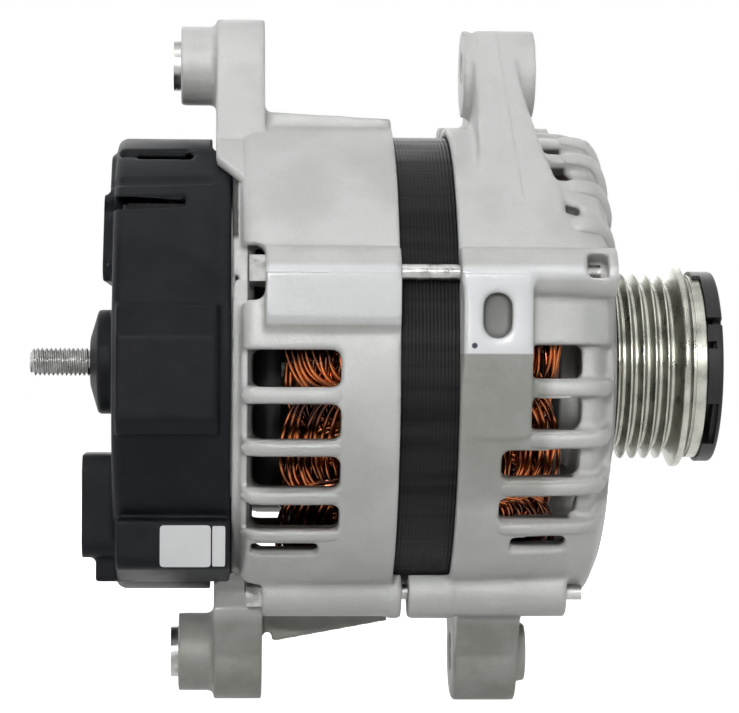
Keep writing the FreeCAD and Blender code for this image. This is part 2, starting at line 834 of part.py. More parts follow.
    plate = extruded("slotted_pad", "XZ_Plane", 60.0,
                     [(c.pad_rear, c.pad_bottom, 3.0), (c.pad_front, c.pad_bottom, 3.0),
                      (c.pad_front, c.pad_top + 1.0), (c.pad_rear, c.pad_top + 1.0)],
                     1.0 - c.pad_face_y - 60.0)
    bevel = extruded("pad_bevel", "YZ_Plane", c.pad_rear - 1.0,
                     [(c.pad_face_y, c.pad_top, c.pad_roll), (c.pad_face_y, c.pad_mid),
                      (c.pad_low_y, c.pad_bottom - 1.0), (-59.0, c.pad_bottom - 1.0),
                      (-59.0, c.pad_top)], c.pad_front - c.pad_rear + 2.0)
    pad_solid = common("pad_solid", plate, bevel)
    land = rod("lower_ear_land", c.lower_ear_rear, c.lower_ear_rear + 2.0, c.lower_land_r, 0.0,
               c.lower_ear_z)
    y, z = at_turn(c.bolt_ring_r, c.bolt_turn)
    hood_boss = rod("front_hood_boss", c.short_boss_front - 2.0, c.hood_boss_front, c.bolt_boss_r, y, z)
    adds = fused("front_adds", [arm, flange, neck, barrel, low_ear, collar, land, pad_solid, hood_boss])
    solid = fused("front_solid", [vented, less("front_adds_cut", adds, cavity)])
    threads = new_body("retainer_threads", several=True)
    hole = Outline(threads, "YZ_Plane", c.front_bearing_rear - 1.0)
    hole.circle(0.0, c.retainer_screw_ring_r, c.retainer_screw_r + c.fit_gap)
    repeat(threads, pad(threads, hole, c.screw_reach + 1.5), 4)
    tools = [threads,
             rod("upper_bore", c.upper_ear_rear - 1.0, c.upper_ear_front + 1.0, c.upper_bore_r,
                 0.0, c.upper_ear_z),
             rod("lower_bore", c.lower_ear_rear - 1.0, c.lower_collar_front + 1.0, c.lower_bore_r,
                 0.0, c.lower_ear_z)]
    holes = new_body("front_bolt_holes", several=True)
    y, z = at_turn(c.bolt_ring_r, c.bolt_turn)
    hole = Outline(holes, "YZ_Plane", c.long_boss_rear - 1.0).circle(y, z, c.bolt_r + c.running_gap)
    repeat(holes, pad(holes, hole, c.nose_tip - c.long_boss_rear), c.bolt_count)
    hood = new_body("front_hood")
    opening = Outline(hood, "XY_Plane", c.hood_floor_r, c.bolt_turn)
    opening.box(c.hood_rear, c.hood_front, -c.hood_half, c.hood_half, 1.0)
    pad(hood, opening, 20.0)
    slot = extruded("pad_slot", "XZ_Plane", -c.pad_face_y - c.pad_slot_depth,
                    [(c.pad_slot_x - c.pad_slot_width / 2, c.pad_slot_z - c.pad_slot_height / 2,
                      c.pad_slot_width * 0.49),
                     (c.pad_slot_x + c.pad_slot_width / 2, c.pad_slot_z - c.pad_slot_height / 2,
                      c.pad_slot_width * 0.49),
                     (c.pad_slot_x + c.pad_slot_width / 2, c.pad_slot_z + c.pad_slot_height / 2,
                      c.pad_slot_width * 0.49),
                     (c.pad_slot_x - c.pad_slot_width / 2, c.pad_slot_z + c.pad_slot_height / 2,
                      c.pad_slot_width * 0.49)], c.pad_slot_depth + 5.0)
    tools = fused("front_tools", tools + [holes, hood, slot])
    return node("front_housing", less("front_housing", solid, tools))


def build_rear_bracket():
    """Rear casting: vented drum, rear wall with windows, bearing boss, ears, web and bolt pockets."""
    body = new_body("rear_casting")
    revolve(body, [(c.rear_rim, 0.0), (c.rear_rim, c.rear_drum_r), (c.rear_face, c.rear_drum_r, 4.0),
                   (c.rear_face, c.spigot_r), (c.spigot_rear, c.spigot_r), (c.spigot_rear, c.spigot_inner_r),
                   (c.rear_face, c.spigot_inner_r),
                   (c.rear_face, c.rear_boss_r), (c.rear_boss_end, c.rear_boss_r, 1.0),
                   (c.rear_boss_end, 0.0)])
    y, z = at_turn(c.bolt_ring_r, c.bolt_turn)
    boss = Outline(body, "YZ_Plane", c.bolt_head_front).circle(y, z, c.bolt_boss_r)
    repeat(body, pad(body, boss, c.rear_rim - c.bolt_head_front), c.bolt_count)
    seat_r = c.stator_r + c.bracket_gap
    wall = c.rear_wall
    hollow = [(c.long_boss_rear, 0.0), (c.long_boss_rear, seat_r), (c.stack_rear, seat_r),
              (c.stack_rear, c.rear_inner_r), (c.stack_rear - 1.4, c.rear_inner_r),
              (c.stack_rear - 3.4, c.rear_vent_inner_r), (c.rear_face + wall, c.rear_vent_inner_r, 3.0),
              (c.rear_face + wall, 0.0)]
    revolve(body, hollow, cut=True)
    cavity = new_body("rear_cavity")
    revolve(cavity, hollow)
    bore_r = c.rear_bearing_r + c.rear_sleeve_wall + c.fit_gap
    inside = c.rear_face + wall + 1.0
    revolve(body, [(c.rear_boss_bottom, 0.0), (c.rear_boss_bottom, bore_r), (inside, bore_r),
                   (inside, 0.0)], cut=True)
    revolve(body, [(c.rear_boss_end - 1.0, 0.0), (c.rear_boss_end - 1.0, c.rear_lip_r),
                   (c.rear_boss_bottom + 1.0, c.rear_lip_r), (c.rear_boss_bottom + 1.0, 0.0)], cut=True)
    notches = new_body("head_notches", several=True)
    notch_half = c.head_pocket_width / 2
    notch = Outline(notches, "XY_Plane", c.head_pocket_floor_r, c.bolt_turn)
    notch.box(c.rear_face - 6.0, c.bolt_head_front, -notch_half, notch_half, 3.0)
    repeat(notches, pad(notches, notch, 20.0), c.bolt_count)
    below = (0, 1, 2)
    through = (c.rear_inner_r - 4.0, c.rear_drum_r + 6.0)
    turns = (c.rear_vent_turn, c.rear_vent_pitch)
    cuts = [vent_tools("rear_vents", c.rear_vent_rear, c.rear_vent_front, c.rear_vent_width, through,
                       c.vent_round, turns, below),
            vent_tools("rear_short_vents", c.rear_vent_rear, c.rear_short_front, c.rear_short_width, through,
                       c.short_vent_round, (c.short_vent_turn,), below),
            vent_tools("rear_recesses", c.rear_face - 2.0, c.rear_vent_rear + 4.0, c.rear_vent_width,
                       (c.rear_recess_r, c.rear_drum_r + 6.0), 1.0, turns, below),
            window_tools("rear_windows", c.rear_face + wall + 1.0, c.rear_window_inner_r,
                         c.rear_window_outer_r, c.rear_window_count, wall + 2.0),
            notches]
    vented = less("rear_vented", body, fused("rear_cuts", cuts))

    drum_foot = c.rear_drum_r - 8.0
    upper = extruded("rear_upper_ear", "YZ_Plane", c.rear_ear_rear,
                     lug(c.upper_ear_z, c.rear_ear_r, c.lower_foot_half, drum_foot),
                     c.rear_ear_front - c.rear_ear_rear)
    upper_boss = rod("rear_upper_boss", c.bush_boss_rear, c.rear_ear_rear + 1.0, c.bush_boss_r,
                     0.0, c.upper_ear_z)
    foot = extruded("rear_upper_foot", "XZ_Plane", 0.0,
                    [(c.rear_ear_rear, drum_foot), (c.rear_face + 2.0, drum_foot - 8.0),
                     (c.rear_ear_front, drum_foot - 8.0), (c.rear_ear_front, drum_foot + 2.0),
                     (c.rear_ear_rear, drum_foot + 2.0)], c.lower_foot_half * 1.9, middle=True)
    lower = extruded("rear_lower_ear", "YZ_Plane", c.rear_ear_rear,
                     lug(c.lower_ear_z, c.rear_ear_r, c.lower_foot_half, -drum_foot),
                     c.rear_ear_front - c.rear_ear_rear)
    lower_boss = rod("rear_lower_boss", c.bush_boss_rear, c.rear_ear_rear + 1.0, c.bush_boss_r - 0.2,
                     0.0, c.lower_ear_z)
    low_foot = extruded("rear_lower_foot", "XZ_Plane", 0.0,
                        [(c.rear_ear_rear, -drum_foot), (c.rear_face + 2.0, -drum_foot + 6.0),
                         (c.rear_ear_front, -drum_foot + 6.0), (c.rear_ear_front, -drum_foot - 2.0),
                         (c.rear_ear_rear, -drum_foot - 2.0)], c.lower_foot_half * 1.9, middle=True)
    wedge = extruded("rear_wedge", "XZ_Plane", 0.0,
                     [(c.rear_ear_front - 1.0, c.stator_r + 1.0), (c.rear_ear_front - 1.0, c.wedge_top),
                      (c.wedge_front, c.wedge_front_z), (c.wedge_front, c.stator_r + 1.0)],
                     c.wedge_half * 2, middle=True)
    web = extruded("rear_web", "XZ_Plane", 0.0,
                   [(c.rear_ear_front - 1.0, -c.stator_r - 1.0), (c.rear_ear_front - 1.0, c.web_bottom),
                    (c.rear_rim, c.web_tip), (c.rear_rim, -c.stator_r - 1.0)], c.web_half * 2, middle=True)
    y, z = at_turn(c.bolt_ring_r, c.bolt_turn + 90.0)
    long_boss = rod("rear_long_boss", c.rear_rim - 1.0, c.long_boss_rear - 1.9, c.bolt_boss_r + 0.6, y, z)
    land = extruded("rear_bolt_land", "YZ_Plane", c.bolt_head_front,
                    [(-60.0, c.land_top), (c.land_face_y + 4.4, c.land_top, 2.0),
                     (c.land_face_y, c.land_top - 5.0, 3.0), (c.land_face_y, c.land_bottom + 4.0, 3.0),
                     (c.land_face_y + 3.6, c.land_bottom), (-60.0, c.land_bottom)],
                    c.rear_rim - c.bolt_head_front)
    posts = new_body("rear_stud_posts", several=True)
    post = Outline(posts, "YZ_Plane", c.negative_sink_front)
    post.circle(0.0, c.cover_stud_ring_r, c.cover_stud_r + 3.0)
    repeat(posts, pad(posts, post, c.rear_face + wall - c.negative_sink_front), 3)
    relief = rod("sink_relief", c.negative_sink_front - c.sink_thick - c.seat_gap * 4,
                 c.negative_sink_front + c.seat_gap * 4, c.sink_outer_r + 0.6)
    foot = less("rear_upper_foot_relieved", foot, relief)
    adds = fused("rear_adds", [upper, upper_boss, foot, lower, lower_boss, low_foot, wedge, web, long_boss,
                               land])
    solid = fused("rear_solid", [vented, less("rear_adds_cut", adds, cavity), posts])
    bush_hole = c.bush_r + c.running_gap
    tools = [rod("rear_upper_hole", c.bush_boss_rear - 1.0, c.rear_ear_front + c.bush_travel + 1.0, bush_hole,
                 0.0, c.upper_ear_z),
             rod("rear_lower_hole", c.bush_boss_rear - 1.0, c.rear_ear_front + c.bush_travel + 1.0, bush_hole,
                 0.0, c.lower_ear_z)]
    holes = new_body("rear_bolt_holes", several=True)
    y, z = at_turn(c.bolt_ring_r, c.bolt_turn)
    hole = Outline(holes, "YZ_Plane", c.bolt_head_front - 1.0).circle(y, z, c.bolt_hole_r)
    repeat(holes, pad(holes, hole, c.rear_rim - c.bolt_head_front + 12.0), c.bolt_count)
    heads = new_body("rear_head_clear", several=True)
    space = Outline(heads, "YZ_Plane", c.rear_ear_rear - 1.0).circle(y, z, c.bolt_head_r + c.head_clearance)
    repeat(heads, pad(heads, space, c.bolt_head_front - c.rear_ear_rear + 1.0), c.bolt_count)
    wires = new_body("rear_lead_holes", several=True)
    y, z = at_turn(c.lead_ring_r, c.lead_turn)
    hole = Outline(wires, "YZ_Plane", c.rear_face - 1.0).circle(y, z, c.lead_r + c.seat_gap)
    repeat(wires, pad(wires, hole, wall + 2.0), 3, c.lead_sweep)
    studs = new_body("rear_stud_holes", several=True)
    hole = Outline(studs, "YZ_Plane", c.negative_sink_front - 1.0)
    hole.circle(0.0, c.cover_stud_ring_r, c.cover_stud_r + c.fit_gap)
    repeat(studs, pad(studs, hole, c.rear_face + wall + 2.0 - c.negative_sink_front), 3)
    tools = fused("rear_tools", tools + [holes, heads, wires, studs])
    return node("rear_housing", less("rear_housing", solid, tools))


def build_through_bolts():
    """Hexagon headed bolts that clamp the two brackets on the stator."""
    bolts = new_body("through_bolts", several=True)
    y, z = at_turn(c.bolt_ring_r, c.bolt_turn)
    shank = Outline(bolts, "YZ_Plane", c.bolt_head_rear + 1.0).circle(y, z, c.bolt_r)
    first = pad(bolts, shank, c.bolt_end - c.bolt_head_rear - 1.0)
    corners = []
    for step in range(6):
        corners.append((y - c.bolt_head_r * sine(c.bolt_turn + 60.0 * step),
                        z + c.bolt_head_r * cosine(c.bolt_turn + 60.0 * step)))
    head = pad(bolts, Outline(bolts, "YZ_Plane", c.bolt_head_rear).loop(corners),
               c.bolt_head_front - c.bolt_head_rear)
    repeat(bolts, first, c.bolt_count).Originals = [first, head]
    node("through_bolts", bolts)


def build_slip_bushes():
    """Steel bushes that slide in the rear ears, so that the ears clamp without bending."""
    for name, z, bore in (("upper_slip_bush", c.upper_ear_z, c.upper_bore_r),
                          ("lower_slip_bush", c.lower_ear_z, c.lower_bore_r)):
        body = new_body(name)
        long = c.rear_ear_front - c.bush_rear
        pad(body, Outline(body, "YZ_Plane", c.bush_rear).circle(0.0, z, c.bush_r).circle(0.0, z, bore), long)
        node(name, body)


# Bearings

def ball_bearing(prefix, rear, front, bore_r, outer_r, ball_r, ball_ring_r, ball_count):
    """Races with a ball track, balls, cage and two seals."""
    middle = (rear + front) / 2
    track = ball_r * 0.28
    wide = ball_r * 0.58
    inner_top = ball_ring_r - ball_r * 0.86
    inner_low = ball_ring_r - ball_r - 0.08
    turned(f"{prefix}_bearing_inner_race",
           [(rear, bore_r), (front, bore_r), (front, inner_top), (middle + wide, inner_top),
            (middle + track, inner_low), (middle - track, inner_low), (middle - wide, inner_top),
            (rear, inner_top)])
    outer_low = ball_ring_r + ball_r * 0.86
    outer_top = ball_ring_r + ball_r + 0.08
    turned(f"{prefix}_bearing_outer_race",
           [(rear, outer_low), (middle - wide, outer_low), (middle - track, outer_top),
            (middle + track, outer_top), (middle + wide, outer_low), (front, outer_low),
            (front, outer_r), (rear, outer_r)])
    balls = []
    step = 360.0 / ball_count.value
    for index in range(int(ball_count.value)):
        ball = doc.addObject("Part::Sphere", f"{prefix}_ball")
        y, z = at_turn(ball_ring_r, step * index)
        bind(ball, "Radius", ball_r)
        bind(ball, "Placement.Base.x", middle)
        bind(ball, "Placement.Base.y", y)
        bind(ball, "Placement.Base.z", z)
        balls.append(ball)
    group = doc.addObject("Part::Compound", f"{prefix}_bearing_balls")
    group.Links = balls
    node(f"{prefix}_bearing_balls", group)

    cage = new_body(f"{prefix}_bearing_cage")
    reach = ball_r * 1.22
    low, high = ball_ring_r - ball_r * 0.3, ball_ring_r + ball_r * 0.3
    revolve(cage, [(middle - reach, low), (middle + reach, low), (middle + reach, high),
                   (middle - reach, high)])
    hole = Outline(cage, "XY_Plane", high + 1.0).circle(middle, 0.0, ball_r + 0.12)
    repeat(cage, pocket(cage, hole, high - low + 2.0), ball_count)
    node(f"{prefix}_bearing_cage", cage)

    seals = new_body(f"{prefix}_bearing_seals", several=True)
    gap = c.seat_gap
    for at in (rear + 0.2, front - 0.2 - c.seal_thick):
        revolve(seals, [(at, inner_top + gap), (at + c.seal_thick, inner_top + gap),
                        (at + c.seal_thick, outer_low - c.running_gap), (at, outer_low - c.running_gap)])
    node(f"{prefix}_bearing_seals", seals)


def build_bearings():
    """Front bearing with its retainer, rear bearing with its sleeve."""
    ball_bearing("front", c.front_bearing_rear, c.front_bearing_front, c.shaft_r + c.fit_gap,
                 c.front_bearing_r, c.front_ball_r, c.front_ball_ring_r, c.front_ball_count)
    ball_bearing("rear", c.rear_bearing_rear, c.rear_bearing_front, c.rear_journal_r + c.fit_gap,
                 c.rear_bearing_r, c.rear_ball_r, c.rear_ball_ring_r, c.rear_ball_count)
    ring("rear_bearing_sleeve", c.rear_bearing_rear, c.rear_bearing_front, c.rear_bearing_r + c.fit_gap / 2,
         c.rear_bearing_r + c.rear_sleeve_wall)
    plate = new_body("bearing_retainer")
    rear = c.front_bearing_rear - c.retainer_thick
    revolve(plate, [(rear, c.front_ball_ring_r), (rear + c.retainer_thick, c.front_ball_ring_r),
                    (rear + c.retainer_thick, c.retainer_r - 0.5), (rear, c.retainer_r - 0.5)])
    hole = Outline(plate, "YZ_Plane", rear + c.retainer_thick + 1.0)
    hole.circle(0.0, c.retainer_screw_ring_r, c.retainer_screw_r + 0.2)
    repeat(plate, pocket(plate, hole, c.retainer_thick + 2.0), 4)
    node("bearing_retainer", plate)

    screws = new_body("retainer_screws", several=True)
    head = Outline(screws, "YZ_Plane", rear - c.screw_head)
    first = pad(screws, head.circle(0.0, c.retainer_screw_ring_r, c.retainer_screw_r * 1.7), c.screw_head)
    shank = Outline(screws, "YZ_Plane", rear).circle(0.0, c.retainer_screw_ring_r, c.retainer_screw_r)
    second = pad(screws, shank, c.retainer_thick + c.screw_reach)
    repeat(screws, first, 4).Originals = [first, second]
    node("retainer_screws", screws)


# Rotor: shaft, claw poles, field winding, fans and slip rings

def claw_pole(name, face, other_face, middle, first_gap):
    """One pole piece: disc and half hub with six tapered claws that reach over the coil."""
    inwards = 1.0 if other_face.value > face.value else -1.0
    disc_back = face + inwards * c.pole_disc
    tip = other_face - inwards * c.claw_tip_gap
    body = new_body(name)
    revolve(body, [(face, c.knurl_r + c.fit_gap), (face, c.pole_r, 1.2), (tip, c.pole_r, 1.0),
                   (tip, c.pole_r - c.claw_tip_thick), (disc_back, c.pole_r - c.claw_root_thick),
                   (disc_back, c.pole_hub_r), (middle, c.pole_hub_r), (middle, c.knurl_r + c.fit_gap)])
    spread = math.degrees(0.5) / c.pole_r
    root_gap = c.pole_r * sine(180.0 / c.claw_count - c.claw_root_width * spread)
    tip_gap = c.pole_r * sine(180.0 / c.claw_count - c.claw_tip_width * spread)
    gap = Outline(body, "XY_Plane", c.pole_r + 1.0, first_gap)
    gap.loop([(face - inwards, -root_gap), (disc_back, -root_gap), (tip + inwards, -tip_gap),
              (tip + inwards, tip_gap), (disc_back, root_gap), (face - inwards, root_gap)])
    repeat(body, pocket(body, gap, c.pole_r + 1.0 - c.notch_r), c.claw_count)
    return node(name, body)


def fan(name, pole_face, height, lean):
    """A pressed fan: a disc on the pole's face with curved blades standing out from it."""
    outwards = 1.0 if lean > 0 else -1.0
    body = new_body(name)
    far = pole_face + outwards * c.fan_sheet
    tip = pole_face + outwards * (c.fan_sheet + height)
    revolve(body, [(pole_face, c.fan_inner_r), (far, c.fan_inner_r), (far, c.fan_r - 3.0),
                   (pole_face, c.fan_r - 3.0)])
    side = []
    other_side = []
    for share, turn in ((0.0, 0.0), (0.5, lean * 0.4), (1.0, lean)):
        radius = c.blade_inner_r + (c.fan_r - c.blade_inner_r) * share
        wide = c.blade_thick * math.degrees(1.0) / radius
        side.append(at_turn(radius, size(turn)))
        other_side.insert(0, at_turn(radius, turn + wide))
    low = tip if outwards < 0 else pole_face
    blade = Outline(body, "YZ_Plane", low).loop(side + other_side)
    repeat(body, pad(body, blade, height + c.fan_sheet), c.blade_count)
    return node(name, body)


def build_rotor():
    """Shaft with its pole pieces, field coil, fans, spacer and slip rings."""
    turned("rotor_shaft", [(c.shaft_rear, 0.0), (c.shaft_rear, c.shaft_tail_r),
                           (c.rear_bearing_rear - 1.4, c.shaft_tail_r),
                           (c.rear_bearing_rear - 1.4, c.rear_journal_r),
                           (c.rear_bearing_front, c.rear_journal_r), (c.rear_bearing_front, c.shaft_r),
                           (c.pole_rear, c.shaft_r), (c.pole_rear, c.knurl_r), (c.pole_front, c.knurl_r),
                           (c.pole_front, c.shaft_r), (c.front_bearing_front, c.shaft_r),
                           (c.front_bearing_front, c.shaft_thread_r),
                           (c.shaft_front - 1.0, c.shaft_thread_r),
                           (c.shaft_front, c.shaft_thread_r - 1.0), (c.shaft_front, 0.0)])
    middle = (c.pole_rear + c.pole_front) / 2
    claw_pole("front_claw_pole", c.pole_front, c.pole_rear, middle, 180.0 / c.claw_count)
    claw_pole("rear_claw_pole", c.pole_rear, c.pole_front, middle, size(0.0))

    gap = c.running_gap
    rear = c.pole_rear + c.pole_disc + gap
    front = c.pole_front - c.pole_disc - gap
    low = c.pole_hub_r + gap
    wall = c.bobbin_wall
    flange_r = c.coil_outer_r + 0.6
    turned("field_bobbin", [(rear, low), (front, low), (front, flange_r), (front - wall, flange_r),
                            (front - wall, low + wall), (rear + wall, low + wall),
                            (rear + wall, flange_r), (rear, flange_r)])
    turned("field_coil", [(rear + wall + gap, low + wall + gap), (front - wall - gap, low + wall + gap),
                          (front - wall - gap, c.coil_outer_r, 2.0),
                          (rear + wall + gap, c.coil_outer_r, 2.0)])
    fan("front_fan", c.pole_front, c.front_blade, 18.0)
    fan("rear_fan", c.pole_rear, c.rear_blade, -18.0)
    ring("front_spacer", c.pole_front, c.front_bearing_rear, c.shaft_r + c.fit_gap, c.shaft_r + 3.5)
    ring("slip_ring_sleeve", c.shaft_rear + 1.0, c.inner_ring_x + c.slip_ring_width,
         c.shaft_tail_r + c.fit_gap, c.ring_sleeve_r)
    rings = new_body("slip_rings", several=True)
    for centre in (c.outer_ring_x, c.inner_ring_x):
        half = c.slip_ring_width / 2
        revolve(rings, [(centre - half, c.ring_sleeve_r + c.fit_gap),
                        (centre + half, c.ring_sleeve_r + c.fit_gap),
                        (centre + half, c.slip_ring_r), (centre - half, c.slip_ring_r)])
    node("slip_rings", rings)


# Pulley: grooved rim on a one way clutch

def build_pulley():
    """Grooved rim, hub, clutch rollers in their cage, two rows of needles and the end cap."""
    groove_count = 6
    outer = []
    for index in range(groove_count):
        centre = c.rib_pitch * (index - (groove_count - 1) / 2)
        first, last = index == 0, index == groove_count - 1
        if first:
            edge = centre - c.groove_root_half - c.flange_run
            outer += [(c.rear_hem, c.lip_r), (edge - c.flange_crest, c.flange_r, 0.8),
                      (edge, c.flange_r, 0.6)]
        else:
            outer.append((centre - c.groove_root_half - c.groove_flank_half, c.rib_crest_r))
        outer += [(centre - c.groove_root_half, c.groove_root_r),
                  (centre + c.groove_root_half, c.groove_root_r)]
        if last:
            edge = centre + c.groove_root_half + c.flange_run
            outer += [(edge, c.flange_r, 0.6), (edge + c.flange_crest, c.flange_r, 0.8)]
        else:
            outer.append((centre + c.groove_root_half + c.groove_flank_half, c.rib_crest_r))
    low = c.lip_r - c.lip_groove_depth
    bore = [(c.lip_rear, c.lip_r), (c.lip_rear + 0.1, low), (c.lip_groove_front, low),
            (c.lip_groove_front, c.lip_r), (c.lip_front, c.lip_r), (c.lip_front, c.cap_recess_r),
            (c.pulley_bore_end, c.cap_recess_r), (c.pulley_bore_end, c.needle_race_r),
            (c.clutch_half, c.needle_race_r), (c.clutch_half, c.clutch_race_r),
            (-c.clutch_half, c.clutch_race_r), (-c.clutch_half, c.needle_race_r),
            (c.rear_hem, c.needle_race_r)]
    turned("pulley_ring", outer + bore)
    hub_bore = c.shaft_thread_r + c.running_gap
    flange_front = c.rear_hem - 0.6
    turned("pulley_hub", [(c.front_bearing_front, hub_bore), (c.hub_front, hub_bore),
                          (c.hub_front, c.hub_r), (flange_front, c.hub_r),
                          (flange_front, c.hub_r + 2.6), (c.front_bearing_front, c.hub_r + 2.6)])

    gap = c.running_gap
    roller_r = (c.clutch_race_r - c.hub_r) / 2 - gap
    roller_half = c.clutch_half - 1.4
    rollers = new_body("clutch_rollers", several=True)
    place = Outline(rollers, "YZ_Plane", -roller_half)
    place.circle(0.0, (c.clutch_race_r + c.hub_r) / 2, roller_r)
    repeat(rollers, pad(rollers, place, roller_half * 2), c.roller_count)
    node("clutch_rollers", rollers)
    cage = new_body("clutch_cage")
    cage_half = c.clutch_half - 0.2
    middle_r = (c.clutch_race_r + c.hub_r) / 2
    revolve(cage, [(-cage_half, middle_r - 0.8), (cage_half, middle_r - 0.8),
                   (cage_half, middle_r + 0.8), (-cage_half, middle_r + 0.8)])
    hole = Outline(cage, "XY_Plane", middle_r + 2.0)
    hole.box(-roller_half - 0.1, roller_half + 0.1, -roller_r - 0.1, roller_r + 0.1)
    repeat(cage, pocket(cage, hole, 4.0), c.roller_count)
    node("clutch_cage", cage)
    needle_r = (c.needle_race_r - c.hub_r) / 2 - gap
    needles = new_body("support_needles", several=True)
    for start, end in ((c.rear_hem + 1.0, -c.clutch_half - 0.4), (c.clutch_half + 0.4, c.pulley_bore_end)):
        place = Outline(needles, "YZ_Plane", start).circle(0.0, (c.needle_race_r + c.hub_r) / 2, needle_r)
        repeat(needles, pad(needles, place, end - start), c.needle_count)
    node("support_needles", needles)

    cap = new_body("cap_turned")
    face = c.cap_front - c.cap_face
    inner = c.cap_recess_r - c.running_gap
    snap_rear = c.hub_front + 0.6
    revolve(cap, [(c.cap_front, 0.0), (c.cap_front, c.cap_r, 0.9), (c.cap_lug_rear, c.cap_r),
                  (c.cap_lug_rear, c.cap_r - c.cap_skirt_wall), (face, c.cap_r - c.cap_skirt_wall),
                  (face, inner), (snap_rear, inner), (snap_rear, inner - 1.6), (face, inner - 1.6),
                  (face, 0.0)])
    trims = new_body("cap_trims", several=True)
    skirt = c.cap_skirt_rear - c.cap_lug_rear + 1.0
    half_lug = 9.0
    trim = Outline(trims, "YZ_Plane", c.cap_lug_rear - 1.0)
    trim.loop([(-half_lug, c.lip_r * 0.5), (-half_lug, 40.0), (-40.0, 40.0), (-40.0, -40.0),
               (40.0, -40.0), (40.0, 40.0), (half_lug, 40.0), (half_lug, c.lip_r * 0.5),
               (c.cap_recess_r + 2.0, c.lip_r * 0.5), (c.cap_recess_r + 2.0, -c.lip_r * 0.5),
               (8.0, -c.cap_recess_r - 2.0), (-8.0, -c.cap_recess_r - 2.0),
               (-c.cap_recess_r - 2.0, -c.lip_r * 0.5), (-c.cap_recess_r - 2.0, c.lip_r * 0.5)])
    pad(trims, trim, skirt)
    gaps = new_body("cap_gaps", several=True)
    for turn, half, start, end in ((62.0, 1.2, c.cap_skirt_rear - 1.0, c.cap_front + 1.0),
                                   (77.0, 1.1, c.cap_skirt_rear - 1.0, c.cap_front - 2.0),
                                   (128.0, 7.5, c.cap_skirt_rear - 1.0, c.cap_front - 1.2),
                                   (240.0, 3.0, c.cap_skirt_rear - 1.0, c.cap_front - 1.2),
                                   (300.0, 3.0, c.cap_skirt_rear - 1.0, c.cap_front - 1.2)):
        hole = Outline(gaps, "XY_Plane", c.cap_r - 3.0, turn).box(start, end, -half, half)
        pad(gaps, hole, 6.0)
    cut = less("cap_cut", less("cap_trimmed", cap, trims), gaps)
    node("pulley_cap", cut)


# Rear cover and what it covers

